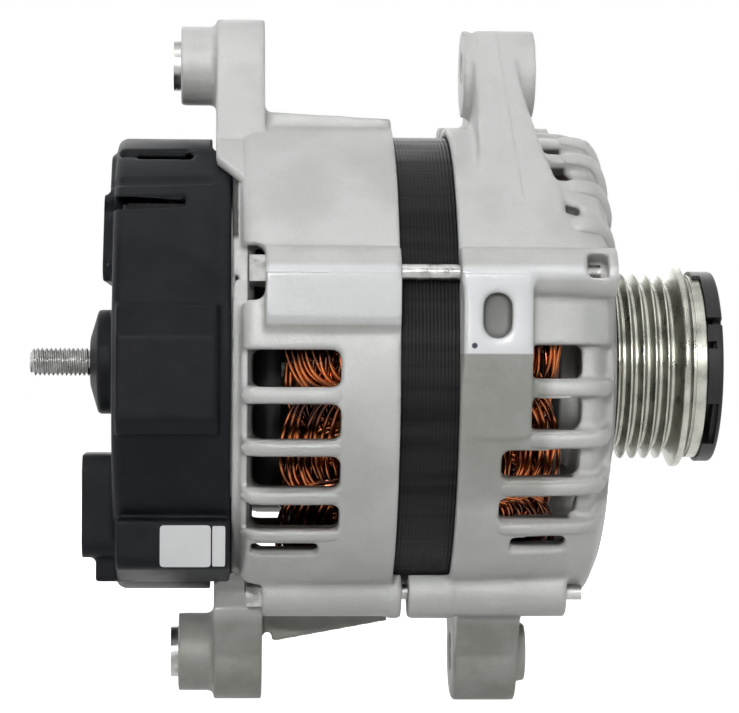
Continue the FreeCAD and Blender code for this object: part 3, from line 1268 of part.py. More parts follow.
def build_cover():
    """Black moulded shell with its crown, terminal block, lower panel, plug housing and slits."""
    body = new_body("cover_shell")
    revolve(body, [(c.cover_front, 0.0), (c.cover_front, c.cover_r), (c.cover_rear, c.cover_r, c.cover_round),
                   (c.cover_rear, 0.0)])
    crown = extruded("cover_crown", "YZ_Plane", c.crown_rear,
                     [(-52.0, c.crown_bottom, 4.0), (-36.0, c.crown_top, 6.0), (36.0, c.crown_top, 6.0),
                      (52.0, c.crown_bottom, 4.0)], c.cover_rear - c.crown_rear + 1.0)
    step = extruded("cover_step", "YZ_Plane", c.cover_step_rear,
                    [(-48.0, 36.0, 4.0), (-22.0, c.cover_step_top, 8.0), (22.0, c.cover_step_top, 8.0),
                     (48.0, 36.0, 4.0)], c.cover_rear - c.cover_step_rear + 1.0)
    boss = rod("terminal_boss", c.terminal_boss_rear + c.terminal_dome, c.cover_rear + 2.0,
               c.terminal_boss_r, c.terminal_y, c.terminal_z)
    dome = doc.addObject("Part::Cone", "terminal_dome")
    dome.Placement = FreeCAD.Placement(V(0, 0, 0), FreeCAD.Rotation(V(0, 1, 0), 90))
    bind(dome, "Radius1", c.terminal_boss_r * 0.45)
    bind(dome, "Radius2", c.terminal_boss_r)
    bind(dome, "Height", c.terminal_dome * 2)
    bind(dome, "Placement.Base.x", c.terminal_boss_rear - c.terminal_dome)
    bind(dome, "Placement.Base.y", c.terminal_y)
    bind(dome, "Placement.Base.z", c.terminal_z)
    side_rear, side_front = c.cover_rear + 1.2, c.cover_front - 3.5
    block_outline = [(-58.0, c.block_top), (c.block_face_y + 4.0, c.block_top, 1.5),
                     (c.block_face_y, c.block_top - 9.0, 2.0), (c.block_face_y, c.block_bottom + 4.0, 3.0),
                     (c.block_face_y + 3.0, c.block_bottom), (-58.0, c.block_bottom)]
    side_block = extruded("cover_block", "YZ_Plane", side_rear, block_outline, side_front - side_rear)
    panel_outline = [(-40.0, c.panel_top), (c.panel_face_y, c.panel_top, 1.0),
                     (c.panel_face_y, c.panel_bottom + 4.0, 4.0), (-34.0, c.panel_bottom - 1.2),
                     (-20.0, c.panel_bottom)]
    panel = extruded("cover_panel", "YZ_Plane", side_rear, panel_outline, c.cover_front - side_rear)
    half_y, half_z = c.plug_half_y, c.plug_half_z
    plug = extruded("plug_shell", "YZ_Plane", c.plug_rear,
                    [(c.plug_y - half_y, c.plug_z - half_z, 5.0), (c.plug_y + half_y, c.plug_z - half_z, 5.0),
                     (c.plug_y + half_y, c.plug_z + half_z, 5.0),
                     (c.plug_y - half_y, c.plug_z + half_z, 5.0)], c.cover_rear - c.plug_rear + 1.5)
    tab = block("plug_tab", c.crown_rear - 2.0, c.cover_rear + 6.0, c.plug_y - 6.0, c.plug_y + 12.0,
                c.panel_bottom - 1.2, c.plug_z - half_z + 1.0)
    solid = fused("cover_solid", [body, crown, step, boss, dome, side_block, panel, plug, tab])

    hollow = new_body("cover_hollow")
    inner_r = c.cover_r - c.cover_wall
    inner_rear = c.cover_rear + c.cover_wall
    revolve(hollow, [(c.cover_front + 1.0, 0.0), (c.cover_front + 1.0, inner_r),
                     (inner_rear, inner_r, 1.5), (inner_rear, 0.0)])
    wall = c.plug_wall
    socket = extruded("plug_socket", "YZ_Plane", c.plug_rear - 1.0,
                      [(c.plug_y - half_y + wall, c.plug_z - half_z + wall, 3.2),
                       (c.plug_y + half_y - wall, c.plug_z - half_z + wall, 3.2),
                       (c.plug_y + half_y - wall, c.plug_z + half_z - wall, 3.2),
                       (c.plug_y - half_y + wall, c.plug_z + half_z - wall, 3.2)],
                      c.plug_floor - c.plug_rear + 1.0)
    ear_gap = c.ear_notch
    ear_half = c.lower_foot_half * 0.95 + ear_gap
    top_notch = extruded("cover_top_notch", "XZ_Plane", 0.0,
                         [(c.rear_ear_rear - ear_gap, 80.0), (c.rear_ear_rear - ear_gap, 62.2),
                          (c.rear_face, 53.9), (c.rear_face + 2.0, 80.0)], ear_half * 2, middle=True)
    low_notch = extruded("cover_low_notch", "XZ_Plane", 0.0,
                         [(c.rear_ear_rear - ear_gap, -80.0), (c.rear_ear_rear - ear_gap, -62.2),
                          (c.rear_face, -54.9), (c.rear_face + 2.0, -80.0)], ear_half * 2, middle=True)
    half_slit = c.slit_height / 2
    slit_high = block("cover_slit_high", c.cover_rear + 5.4, c.cover_rear + 22.0, -70.0, -14.0,
                      c.slit_high_z - half_slit, c.slit_high_z + half_slit)
    slit_low = block("cover_slit_low", c.crown_rear - 1.0, c.cover_rear + 20.0, -70.0, -40.0,
                     c.slit_low_z - half_slit, c.slit_low_z + half_slit)
    louvres = new_body("cover_louvres", several=True)
    louvre = Outline(louvres, "YZ_Plane", c.crown_rear - 1.0)
    low_y, low_z = at_turn(size(42.0), 240.0)
    louvre.box(low_y - 2.0, low_y + 2.0, low_z - 9.0, low_z + 9.0, 1.9)
    repeat(louvres, pad(louvres, louvre, c.cover_wall + 6.0), 5, 62.0)
    cups = new_body("cover_cups", several=True)
    cup = Outline(cups, "YZ_Plane", c.cover_rear + 2.0)
    cup.circle(0.0, c.cover_stud_ring_r, c.cover_nut_r + 4.4)
    repeat(cups, pad(cups, cup, c.cover_nut_thick + 3.0), 3)
    shell = less("cover_opened", solid, hollow)
    cups_in = common("cover_cups_in", cups, rod("cover_envelope", c.cover_rear, c.cover_front, c.cover_r))
    shell = fused("cover_with_cups", [shell, cups_in])
    wells = new_body("cover_wells", several=True)
    well = Outline(wells, "YZ_Plane", c.crown_rear - 4.0)
    well.circle(0.0, c.cover_stud_ring_r, c.cover_nut_r + 1.4)
    first = pad(wells, well, c.cover_rear + c.cover_nut_thick + 2.0 - c.crown_rear + 4.0)
    drill = Outline(wells, "YZ_Plane", c.cover_rear)
    second = pad(wells, drill.circle(0.0, c.cover_stud_ring_r, c.cover_stud_r + 0.3), 12.0)
    repeat(wells, first, 3).Originals = [first, second]
    stud_hole = rod("terminal_hole", c.terminal_boss_rear - 3.0, c.cover_rear + 4.0, c.stud_r + 0.25,
                    c.terminal_y, c.terminal_z)
    pin_slot = block("pin_slot", c.plug_floor - 1.0, c.cover_rear + c.cover_wall + 1.0,
                     c.plug_y - 1.5, c.plug_y + 1.5, c.regulator_bottom + 0.6, c.regulator_top - 0.6)
    tools = fused("cover_tools", [socket, top_notch, low_notch, slit_high, slit_low, louvres, wells,
                                  stud_hole, pin_slot])
    node("rear_cover", less("rear_cover", shell, tools))

    studs = new_body("cover_studs", several=True)
    stud = Outline(studs, "YZ_Plane", c.cover_rear + 1.4).circle(0.0, c.cover_stud_ring_r, c.cover_stud_r)
    repeat(studs, pad(studs, stud, c.rear_face + c.rear_wall - c.cover_rear - 1.4), 3)
    node("cover_studs", studs)
    nuts = new_body("cover_nuts", several=True)
    seat = c.cover_rear + 2.0
    nut = Outline(nuts, "YZ_Plane", seat).loop(hexagon(size(0.0), c.cover_stud_ring_r, c.cover_nut_r))
    nut.circle(0.0, c.cover_stud_ring_r, c.cover_stud_r + c.fit_gap)
    repeat(nuts, pad(nuts, nut, c.cover_nut_thick), 3)
    node("cover_nuts", nuts)


def crescent(name, front, thick, inner_r, outer_r, holes):
    """A horseshoe plate round the slip rings; holes are (ring radius, hole radius, turns)."""
    body = new_body(name)
    rear = front - thick
    outline = Outline(body, "XZ_Plane").loop([(rear, inner_r), (front, inner_r), (front, outer_r),
                                              (rear, outer_r)])
    feature = body.newObject("PartDesign::Revolution", name + "_turned")
    feature.Profile = outline.sketch
    feature.ReferenceAxis = (outline.sketch, ["H_Axis"])
    feature.Midplane = True
    bind(feature, "Angle", c.sink_reach * 2)
    body.Tip = feature
    for ring_r, hole_r, turns in holes:
        for turn in turns:
            y, z = at_turn(ring_r, turn)
            pocket(body, Outline(body, "YZ_Plane", front + 1.0).circle(y, z, hole_r), thick + 2.0)
    return node(name, body)


def button_group(name, rear, long, radius, turns):
    """Round diode bodies pressed into a plate."""
    body = new_body(name, several=True)
    for turn in turns:
        y, z = at_turn(c.diode_ring_r, turn)
        pad(body, Outline(body, "YZ_Plane", rear).circle(y, z, radius), long)
    return node(name, body)


def build_rectifier():
    """Two heat sinks with their diodes, the terminal plate between them and the battery stud."""
    count = int(c.diode_count.value)
    turns = [c.diode_turn * (index - (count - 1) / 2) for index in range(count)]
    stud_turns = [0.0, 120.0, -120.0]
    diode_hole = (c.diode_ring_r, c.diode_r + c.fit_gap, turns)
    stud_hole = (c.cover_stud_ring_r, c.cover_stud_r + 0.4, stud_turns)
    negative_rear = c.negative_sink_front - c.sink_thick
    crescent("negative_heat_sink", c.negative_sink_front, c.sink_thick, c.sink_inner_r, c.sink_outer_r,
             [diode_hole, stud_hole])
    crescent("terminal_plate", c.terminal_plate_front, c.terminal_plate_thick, c.sink_inner_r + 1.0,
             c.sink_outer_r + 0.5, [stud_hole])
    positive_rear = c.positive_sink_front - c.sink_thick
    crescent("positive_heat_sink", c.positive_sink_front, c.sink_thick, c.sink_inner_r,
             c.sink_outer_r - 1.5, [diode_hole, stud_hole])
    button_group("negative_diodes", negative_rear - 3.2, c.diode_long, c.diode_r, turns)
    button_group("positive_diodes", positive_rear - 3.2, c.diode_long, c.diode_r, turns)

    spacers = new_body("rectifier_spacers", several=True)
    terminal_rear = c.terminal_plate_front - c.terminal_plate_thick
    cup_floor = c.cover_rear + c.cover_nut_thick + 5.0
    for rear, front in ((c.terminal_plate_front, negative_rear), (c.positive_sink_front, terminal_rear),
                        (cup_floor, positive_rear)):
        tube = Outline(spacers, "YZ_Plane", rear)
        tube.circle(0.0, c.cover_stud_ring_r, c.cover_stud_r + 2.0)
        tube.circle(0.0, c.cover_stud_ring_r, c.cover_stud_r + 0.3)
        repeat(spacers, pad(spacers, tube, front - rear), 3)
    node("rectifier_spacers", spacers)

    head = c.sink_thick * 0.8
    stud = fused("battery_stud", [
        rod("stud_thread", c.stud_rear + c.stud_tip_run, c.stud_neck, c.stud_r, c.terminal_y, c.terminal_z),
        rod("stud_shank", c.stud_neck - 0.5, c.positive_sink_front + 0.5, c.stud_neck_r, c.terminal_y,
            c.terminal_z),
        rod("stud_end", c.stud_rear, c.stud_rear + c.stud_tip_run + 0.2, c.stud_r * 0.72, c.terminal_y,
            c.terminal_z),
        rod("stud_head", c.positive_sink_front, c.positive_sink_front + head, c.stud_head_r, c.terminal_y,
            c.terminal_z)])
    node("battery_stud", stud)
    positive = NODES["positive_heat_sink"]
    clear = rod("stud_clear", positive_rear - 1.0, c.positive_sink_front + 1.0, c.stud_neck_r + c.fit_gap,
                c.terminal_y, c.terminal_z)
    positive.Label = "positive_plate_blank"
    node("positive_heat_sink", less("positive_heat_sink", positive, clear))


def build_regulator():
    """Regulator block with its fins and plug pins, brush holder, brushes and springs."""
    y_low = c.plug_y - 4.5
    fin_low = y_low + c.fin_inset
    moulding = block("regulator", c.regulator_rear, c.regulator_front, y_low, c.regulator_half,
                     c.regulator_bottom, c.regulator_top)
    node("regulator", moulding)
    base = c.regulator_bottom - c.fin_thick
    plate = block("fin_plate", c.regulator_rear + 1.0, c.regulator_front - 1.0, fin_low,
                  c.regulator_half - 2.0, base, c.regulator_bottom)
    fins = []
    pitch = (c.regulator_half - 2.0 - fin_low - c.fin_thick) / (c.fin_count - 1)
    for index in range(int(c.fin_count.value)):
        start = fin_low + pitch * index
        fins.append(block("fin", c.regulator_rear + 1.0, c.regulator_front - 1.0, start,
                          start + c.fin_thick, base - c.fin_drop, base + 0.2))
    node("regulator_fins", fused("regulator_fins", [plate] + fins))

    pins = []
    pin_count = int(c.pin_count.value)
    for index in range(pin_count):
        z = (c.regulator_top + c.regulator_bottom) / 2 + c.pin_pitch * (index - (pin_count - 1) / 2)
        pins.append(block("plug_pin", c.plug_rear + 4.8, c.regulator_rear, c.plug_y - 1.2,
                          c.plug_y + 1.2, z - 0.4, z + 0.4))
    group = doc.addObject("Part::Compound", "plug_pins")
    group.Links = pins
    node("plug_pins", group)

    gap = 0.1
    half_x, half_y = c.brush_x_size / 2, c.brush_y_size / 2
    floor = c.regulator_top + c.holder_wall
    holder = block("holder_block", c.outer_ring_x - half_x - c.holder_wall - gap,
                   c.inner_ring_x + half_x + c.holder_wall + gap, -half_y - c.holder_wall,
                   half_y + c.holder_wall, c.regulator_top, c.holder_top)
    wells = []
    for name, x in (("positive", c.outer_ring_x), ("negative", c.inner_ring_x)):
        wells.append(block(name + "_well", x - half_x - gap, x + half_x + gap, -half_y - gap, half_y + gap,
                           floor, c.holder_top + 1.0))
        stick = block(name + "_stick", x - half_x, x + half_x, -half_y, half_y,
                      c.brush_tip - c.brush_long, c.brush_tip)
        worn = rod(name + "_wear", x - half_x - 1.0, x + half_x + 1.0, c.slip_ring_r + c.running_gap)
        node(name + "_brush", less(name + "_brush", stick, worn))
        coil = new_body(name + "_brush_spring")
        wire = Outline(coil, "XY_Plane", floor).circle(x, 0.0, 1.9).circle(x, 0.0, 1.2)
        pad(coil, wire, c.brush_tip - c.brush_long - floor)
        node(name + "_brush_spring", coil)
    node("brush_holder", less("brush_holder", holder, fused("brush_wells", wells)))


def build_all():
    """Every sub-part of the alternator."""
    build_stator()
    build_front_bracket()
    build_rear_bracket()
    build_through_bolts()
    build_slip_bushes()
    build_bearings()
    build_rotor()
    build_pulley()
    build_cover()
    build_rectifier()
    build_regulator()


build_all()
doc.recompute()
for thing in doc.Objects:
    if "Invalid" in thing.State or "Error" in thing.State:
        raise SystemExit(f"{thing.Label} failed: {thing.State}")
for name, thing in NODES.items():
    if thing.Shape.isNull() or not thing.Shape.isValid():
        raise SystemExit(f"{name} has no valid shape")
os.makedirs("parts", exist_ok=True)
for name, thing in NODES.items():
    shape = thing.Shape
    box = shape.BoundBox
    print(f"{name:26s} {len(shape.Solids)} {shape.Volume:11.1f} x {box.XMin:.1f} {box.XMax:.1f} "
          f"y {box.YMin:.1f} {box.YMax:.1f} z {box.ZMin:.1f} {box.ZMax:.1f}")
    shape.exportStep(f"parts/{name}.step")
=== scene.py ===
"""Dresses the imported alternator: soft edged castings, wound copper, threads, finishes, lights and camera.

Every length is in metres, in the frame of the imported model: +X along the shaft towards the pulley,
+Z up, and the camera on the -Y side. A turn about the shaft counts from +Z towards -Y.
"""

from __future__ import annotations

import logging
import math
from collections.abc import Iterator
from contextlib import contextmanager
from dataclasses import dataclass, field
from enum import Enum
from functools import reduce

import bmesh
import bpy
import numpy as np
from mathutils import Matrix, Vector

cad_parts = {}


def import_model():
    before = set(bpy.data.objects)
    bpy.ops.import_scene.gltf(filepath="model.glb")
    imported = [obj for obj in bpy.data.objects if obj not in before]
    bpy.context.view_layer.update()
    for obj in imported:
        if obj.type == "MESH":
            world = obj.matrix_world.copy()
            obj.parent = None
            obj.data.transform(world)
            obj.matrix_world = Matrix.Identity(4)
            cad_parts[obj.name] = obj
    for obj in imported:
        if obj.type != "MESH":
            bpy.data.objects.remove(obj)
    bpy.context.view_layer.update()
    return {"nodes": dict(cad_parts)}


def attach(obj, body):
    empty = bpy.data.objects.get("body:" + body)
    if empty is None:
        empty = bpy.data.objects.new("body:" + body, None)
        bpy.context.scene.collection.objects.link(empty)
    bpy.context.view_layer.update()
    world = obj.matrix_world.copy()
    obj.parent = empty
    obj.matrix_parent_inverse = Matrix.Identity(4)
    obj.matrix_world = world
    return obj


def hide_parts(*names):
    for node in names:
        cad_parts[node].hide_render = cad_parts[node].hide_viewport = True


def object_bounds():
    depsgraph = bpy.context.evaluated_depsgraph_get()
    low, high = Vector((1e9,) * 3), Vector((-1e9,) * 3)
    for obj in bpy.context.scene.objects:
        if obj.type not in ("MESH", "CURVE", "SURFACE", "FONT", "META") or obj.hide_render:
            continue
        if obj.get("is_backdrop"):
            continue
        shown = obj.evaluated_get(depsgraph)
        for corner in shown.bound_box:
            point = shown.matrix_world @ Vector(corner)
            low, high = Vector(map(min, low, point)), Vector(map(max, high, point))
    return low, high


LOG = logging.getLogger("alternator")
MM = 0.001
# Points nearer than this are one point.
SAME = 0.001 * MM
# A ring this small closes an end.
CLOSED = 0.01 * MM
Color = tuple[float, float, float]
Place = tuple[float, float, float]
Mesh = tuple[np.ndarray, np.ndarray]
Socket = bpy.types.NodeSocket


# ---------------------------------------------------------------- meshes


def placed(name: str, data: bpy.types.ID) -> bpy.types.Object:
    """A new object with the given data, linked to the scene.

    Args:
        name: the object's name.
        data: its mesh, camera or lamp.

    Returns:
        The object, at the origin.
    """
    thing = bpy.data.objects.new(name, data)
    bpy.context.scene.collection.objects.link(thing)
    return thing


def mesh_object(name: str, points: np.ndarray, faces: np.ndarray, smooth: bool = True) -> bpy.types.Object:
    """Makes a mesh object from arrays.

    Args:
        name: the object's name.
        points: rows of x, y, z.
        faces: one row of point numbers for each face.
        smooth: whether the faces are shaded smooth.

    Returns:
        The new object, linked to the scene, at the origin.
    """
    mesh = bpy.data.meshes.new(name)
    mesh.vertices.add(len(points))
    mesh.vertices.foreach_set("co", np.ascontiguousarray(points, dtype=np.float32).ravel())
    sides = faces.shape[1]
    mesh.loops.add(faces.size)
    mesh.loops.foreach_set("vertex_index", np.ascontiguousarray(faces, dtype=np.int32).ravel())
    mesh.polygons.add(len(faces))
    mesh.polygons.foreach_set("loop_start", np.arange(0, faces.size, sides, dtype=np.int32))
    mesh.polygons.foreach_set("use_smooth", np.full(len(faces), smooth))
    mesh.update(calc_edges=True)
    mesh.validate()
    return placed(name, mesh)


def grid_faces(rows: int, columns: int, wrap_rows: bool, wrap_columns: bool) -> np.ndarray:
    """Quads of a grid of points, numbered row by row.

    Args:
        rows: the number of rows of points.
        columns: the number of points in a row.
        wrap_rows: whether the last row joins the first.
        wrap_columns: whether the last point of a row joins its first.

    Returns:
        Rows of four point numbers.
    """
    row = np.arange(rows if wrap_rows else rows - 1)[:, None]
    column = np.arange(columns if wrap_columns else columns - 1)[None, :]
    next_row, next_column = (row + 1) % rows, (column + 1) % columns
    corners = (row * columns + column, next_row * columns + column,
               next_row * columns + next_column, row * columns + next_column)
    return np.stack([np.broadcast_to(c, (row.size, column.size)).ravel() for c in corners], axis=1)


def repeated_grids(count: int, rows: int, columns: int) -> np.ndarray:
    """Quads of equal grids whose points follow each other, each with its rows closed to rings.

    Args:
        count: the number of grids.
        rows: the number of rings in a grid.
        columns: the number of points in a ring.

    Returns:
        Rows of four point numbers.
    """
    one = grid_faces(rows, columns, False, True)
    return (one[None, :, :] + (np.arange(count) * rows * columns)[:, None, None]).reshape(-1, 4)


def whole_turn(count: int) -> np.ndarray:
    """Evenly spaced angles of one turn, in radians."""
    return np.linspace(0.0, 2.0 * np.pi, count, endpoint=False)


def unit(vectors: np.ndarray) -> np.ndarray:
    """Vectors brought to length 1, along the last axis."""
    return vectors / (np.linalg.norm(vectors, axis=-1, keepdims=True) + 1e-12)


def signed_power(values: np.ndarray, power: float) -> np.ndarray:
    """sign(v) * |v| ** power, which makes a circle's sine and cosine into a fuller or flatter round."""
    return np.sign(values) * np.abs(values) ** power


def about_shaft(x: np.ndarray, radius: np.ndarray, turn: np.ndarray) -> np.ndarray:
    """Points at turns about the shaft: (x, -radius sin turn, radius cos turn)."""
    return np.stack(np.broadcast_arrays(x, -radius * np.sin(turn), radius * np.cos(turn)), axis=-1)


def turned_points(along: np.ndarray, radius: np.ndarray, around: int, y: float = 0.0, z: float = 0.0) -> np.ndarray:
    """Points of a profile turned about an axis along X: (x, y + r sin a, z + r cos a).

    Args:
        along: x of each profile point, or one row of them for each angle.
        radius: radius of each profile point, in the same form.
        around: the number of angles.
        y: the axis's y.
        z: the axis's z.

    Returns:
        Points, one row of the profile for each angle.
    """
    angle = whole_turn(around)[:, None]
    along, radius = np.broadcast_to(along, (around, np.shape(along)[-1])), np.asarray(radius)
    points = np.stack([along + 0.0 * angle, y + radius * np.sin(angle), z + radius * np.cos(angle)], axis=-1)
    return points.reshape(-1, 3)


@contextmanager
def editing(mesh: bpy.types.Mesh) -> Iterator[bmesh.types.BMesh]:
    """Opens a mesh for editing and writes it back at the end.

    Args:
        mesh: the mesh.

    Yields:
        Its editable form.
    """
    made = bmesh.new()
    made.from_mesh(mesh)
    yield made
    made.to_mesh(mesh)
    made.free()


def with_normals_out(thing: bpy.types.Object) -> bpy.types.Object:
    """Merges a mesh's doubles and turns its faces outwards.

    Args:
        thing: the object.

    Returns:
        The same object.
    """
    with editing(thing.data) as made:
        bmesh.ops.remove_doubles(made, verts=made.verts, dist=SAME)
        bmesh.ops.recalc_face_normals(made, faces=made.faces)
    return thing


def split_edges_by_angle(thing: bpy.types.Object, degrees: float) -> None:
    """Marks the edges sharper than an angle as sharp, so that smooth shading stops at them.

    Args:
        thing: the object.
        degrees: the angle.
    """
    limit = math.radians(degrees)
    with editing(thing.data) as made:
        for edge in made.edges:
            edge.smooth = edge.calc_face_angle(0.0) < limit


def tubes(paths: np.ndarray, radius: float, around: int, end_share: float = 0.05) -> Mesh:
    """Round tubes along many paths at once, each closed at its ends by a small cone.

    The section's two directions are square to the path's tangent: the first leans on the radial
    direction from the shaft, the second is the cross product of the tangent and the first.

    Args:
        paths: points as (wire, step, 3).
        radius: the wire's radius.
        around: sides of the section.
        end_share: the radius at the ends, as a share of the wire's.

    Returns:
        Points and quads of all the tubes.
    """
    wires, steps, _ = paths.shape
    tangent = unit(np.gradient(paths, axis=1))
    radial = unit(paths * np.array([0.0, 1.0, 1.0]))
    first = unit(radial - tangent * np.sum(radial * tangent, axis=2, keepdims=True))
    second = np.cross(tangent, first)
    angle = whole_turn(around)
    girth = np.full(steps, radius)
    girth[[0, -1]] *= end_share
    ring = (first[:, :, None, :] * np.cos(angle)[None, None, :, None]
            + second[:, :, None, :] * np.sin(angle)[None, None, :, None])
    points = paths[:, :, None, :] + ring * girth[None, :, None, None]
    return points.reshape(-1, 3), repeated_grids(wires, steps, around)


def softened_copy(node: bpy.types.Object, name: str, voxel: float, rounds: int,
                  limit: int = 190000) -> bpy.types.Object:
    """A copy of a CAD node with the soft edges of a casting or moulding.

    The copy is merged, turned into even quads by a voxel remesh, smoothed, and thinned if it is heavy.

    Args:
        node: the CAD node.
        name: the new object's name.
        voxel: the remesh's voxel.
        rounds: rounds of smoothing.
        limit: the most triangles.

    Returns:
        The new object, linked to the scene.
    """
    mesh = node.data.copy()
    mesh.materials.clear()
    with editing(mesh) as made:
        bmesh.ops.remove_doubles(made, verts=made.verts, dist=2.0 * SAME)
    thing = placed(name, mesh)
    remesh = thing.modifiers.new("even", "REMESH")
    remesh.mode = "VOXEL"
    remesh.voxel_size = voxel
    relax = thing.modifiers.new("relax", "SMOOTH")
    relax.factor = 0.5
    relax.iterations = rounds
    bake_modifiers(thing)
    triangles = 2 * len(thing.data.polygons)
    if triangles > limit:
        thin = thing.modifiers.new("thin", "DECIMATE")
        thin.ratio = limit / triangles
        bake_modifiers(thing)
    thing.data.polygons.foreach_set("use_smooth", np.ones(len(thing.data.polygons), dtype=bool))
    LOG.info("%s: %d faces", name, len(thing.data.polygons))
    return thing


def bake_modifiers(thing: bpy.types.Object) -> None:
    """Turns an object's modifiers into its mesh.

    Args:
        thing: the object.
    """
    graph = bpy.context.evaluated_depsgraph_get()
    mesh = bpy.data.meshes.new_from_object(thing.evaluated_get(graph))
    thing.modifiers.clear()
    old = thing.data
    thing.data = mesh
    bpy.data.meshes.remove(old)


# ---------------------------------------------------------------- materials


@dataclass
class Tree:
    """A material's or group's node tree, with short ways to add nodes."""

    nodes: bpy.types.Nodes
    links: bpy.types.NodeLinks

    def add(self, kind: str, **settings: object) -> bpy.types.Node:
        """Adds a node and sets its properties.

        Args:
            kind: the node's type name without the ShaderNode prefix.
            **settings: properties of the node.

        Returns:
            The node.
        """
        made = self.nodes.new("ShaderNode" + kind)
        for key, value in settings.items():
            setattr(made, key, value)
        return made

    def join(self, source: Socket, target: Socket) -> None:
        """Links two sockets."""
        self.links.new(source, target)

    def math(self, operation: str, *values: object, clamp: bool = False) -> Socket:
        """A Math node on sockets or numbers.

        Args:
            operation: the node's operation.
            *values: its inputs in their order, each a socket or a number.
            clamp: whether the result is kept between 0 and 1.

        Returns:
            The result's socket.
        """
        made = self.add("Math", operation=operation, use_clamp=clamp)
        for socket, value in zip(made.inputs, values):
            if isinstance(value, Socket):
                self.join(value, socket)
            else:
                socket.default_value = value
        return made.outputs[0]

    def product(self, *factors: object) -> Socket:
        """The product of sockets or numbers."""
        return reduce(lambda first, second: self.math("MULTIPLY", first, second), factors)

    def largest(self, *values: object) -> Socket:
        """The largest of sockets or numbers."""
        return reduce(lambda first, second: self.math("MAXIMUM", first, second), values)

    def axes(self, vector: Socket) -> tuple[Socket, ...]:
        """Splits a vector.

        Args:
            vector: the vector.

        Returns:
            The sockets of its x, y and z.
        """
        split = self.add("SeparateXYZ")
        self.join(vector, split.inputs[0])
        return tuple(split.outputs)

    def distance(self, vector: Socket, place: Place = (0.0, 0.0, 0.0)) -> Socket:
        """How far coordinates lie from a place.

        Args:
            vector: the coordinates.
            place: the place.

        Returns:
            The distance's socket.
        """
        made = self.add("VectorMath", operation="DISTANCE")
        self.join(vector, made.inputs[0])
        made.inputs[1].default_value = place
        return made.outputs["Value"]

    def noise(self, vector: Socket, scale: float, detail: float, rough: float = 0.5) -> Socket:
        """A noise's value.

        Args:
            vector: where the noise is read.
            scale: features per metre.
            detail: octaves.
            rough: strength of the finer octaves.

        Returns:
            The value's socket.
        """
        made = self.add("TexNoise")
        made.inputs["Scale"].default_value = scale
        made.inputs["Detail"].default_value = detail
        made.inputs["Roughness"].default_value = rough
        self.join(vector, made.inputs["Vector"])
        return made.outputs[0]

    def ramp(self, value: Socket, low: float, high: float, to_low: object = 0.0, to_high: object = 1.0) -> Socket:
        """A smooth step of a value from one range to another.

        Args:
            value: the value's socket.
            low: where the step starts.
            high: where it ends.
            to_low: the result at the start.
            to_high: the result at the end.

        Returns:
            The result's socket.
        """
        made = self.add("MapRange", interpolation_type="SMOOTHSTEP")
        self.join(value, made.inputs["Value"])
        for socket, number in zip(("From Min", "From Max", "To Min", "To Max"), (low, high, to_low, to_high)):
            if isinstance(number, Socket):
                self.join(number, made.inputs[socket])
            else:
                made.inputs[socket].default_value = number
        return made.outputs[0]

    def zone(self, *steps: tuple[Socket, float, float]) -> Socket:
        """The product of smooth steps along coordinates.

        Args:
            *steps: for each, the coordinate, and in millimetres where it gives 0 and where it gives 1.

        Returns:
            The mask's socket.
        """
        return self.product(*(self.ramp(value, none * MM, full * MM) for value, none, full in steps))

    def effect(self, group: bpy.types.NodeTree, vector: Socket) -> bpy.types.Node:
        """Places a shared group that reads the given coordinates.

        Args:
            group: the shared group.
            vector: the coordinates.

        Returns:
            The group's node.
        """
        made = self.add("Group")
        made.node_tree = group
        self.join(vector, made.inputs["Vector"])
        return made

    def blend(self, factor: object, first: object, second: object, mode: str = "MIX") -> Socket:
        """A colour mix.

        Args:
            factor: a socket or a number.
            first: a socket or a colour.
            second: a socket or a colour.
            mode: the mix's blend type.

        Returns:
            The colour's socket.
        """
        made = self.add("Mix", data_type="RGBA", blend_type=mode)
        for place, value in ((0, factor), (6, first), (7, second)):
            if isinstance(value, Socket):
                self.join(value, made.inputs[place])
            elif place:
                made.inputs[place].default_value = (*value, 1.0)
            else:
                made.inputs[place].default_value = value
        return made.outputs[2]

    def stretched(self, vector: Socket, scale: Color) -> Socket:
        """Coordinates scaled by axis, so that a noise on them is drawn out.

        Args:
            vector: the coordinates.
            scale: factor on x, y and z.

        Returns:
            The new coordinates' socket.
        """
        made = self.add("Mapping")
        made.inputs["Scale"].default_value = scale
        self.join(vector, made.inputs["Vector"])
        return made.outputs[0]


def new_group(name: str, inputs: list[tuple[str, str, object]],
              outputs: list[tuple[str, str]]) -> tuple[bpy.types.NodeTree, Tree, bpy.types.Node, bpy.types.Node]:
    """An empty shader group with its sockets.

    Args:
        name: the group's name.
        inputs: name, socket type and default of each input.
        outputs: name and socket type of each output.

    Returns:
        The group, its tree, its input node and its output node.
    """
    group = bpy.data.node_groups.new(name, "ShaderNodeTree")
    for label, kind, default in inputs:
        socket = group.interface.new_socket(label, in_out="INPUT", socket_type="NodeSocket" + kind)
        if default is not None:
            socket.default_value = default
    for label, kind in outputs:
        group.interface.new_socket(label, in_out="OUTPUT", socket_type="NodeSocket" + kind)
    tree = Tree(group.nodes, group.links)
    return group, tree, group.nodes.new("NodeGroupInput"), group.nodes.new("NodeGroupOutput")


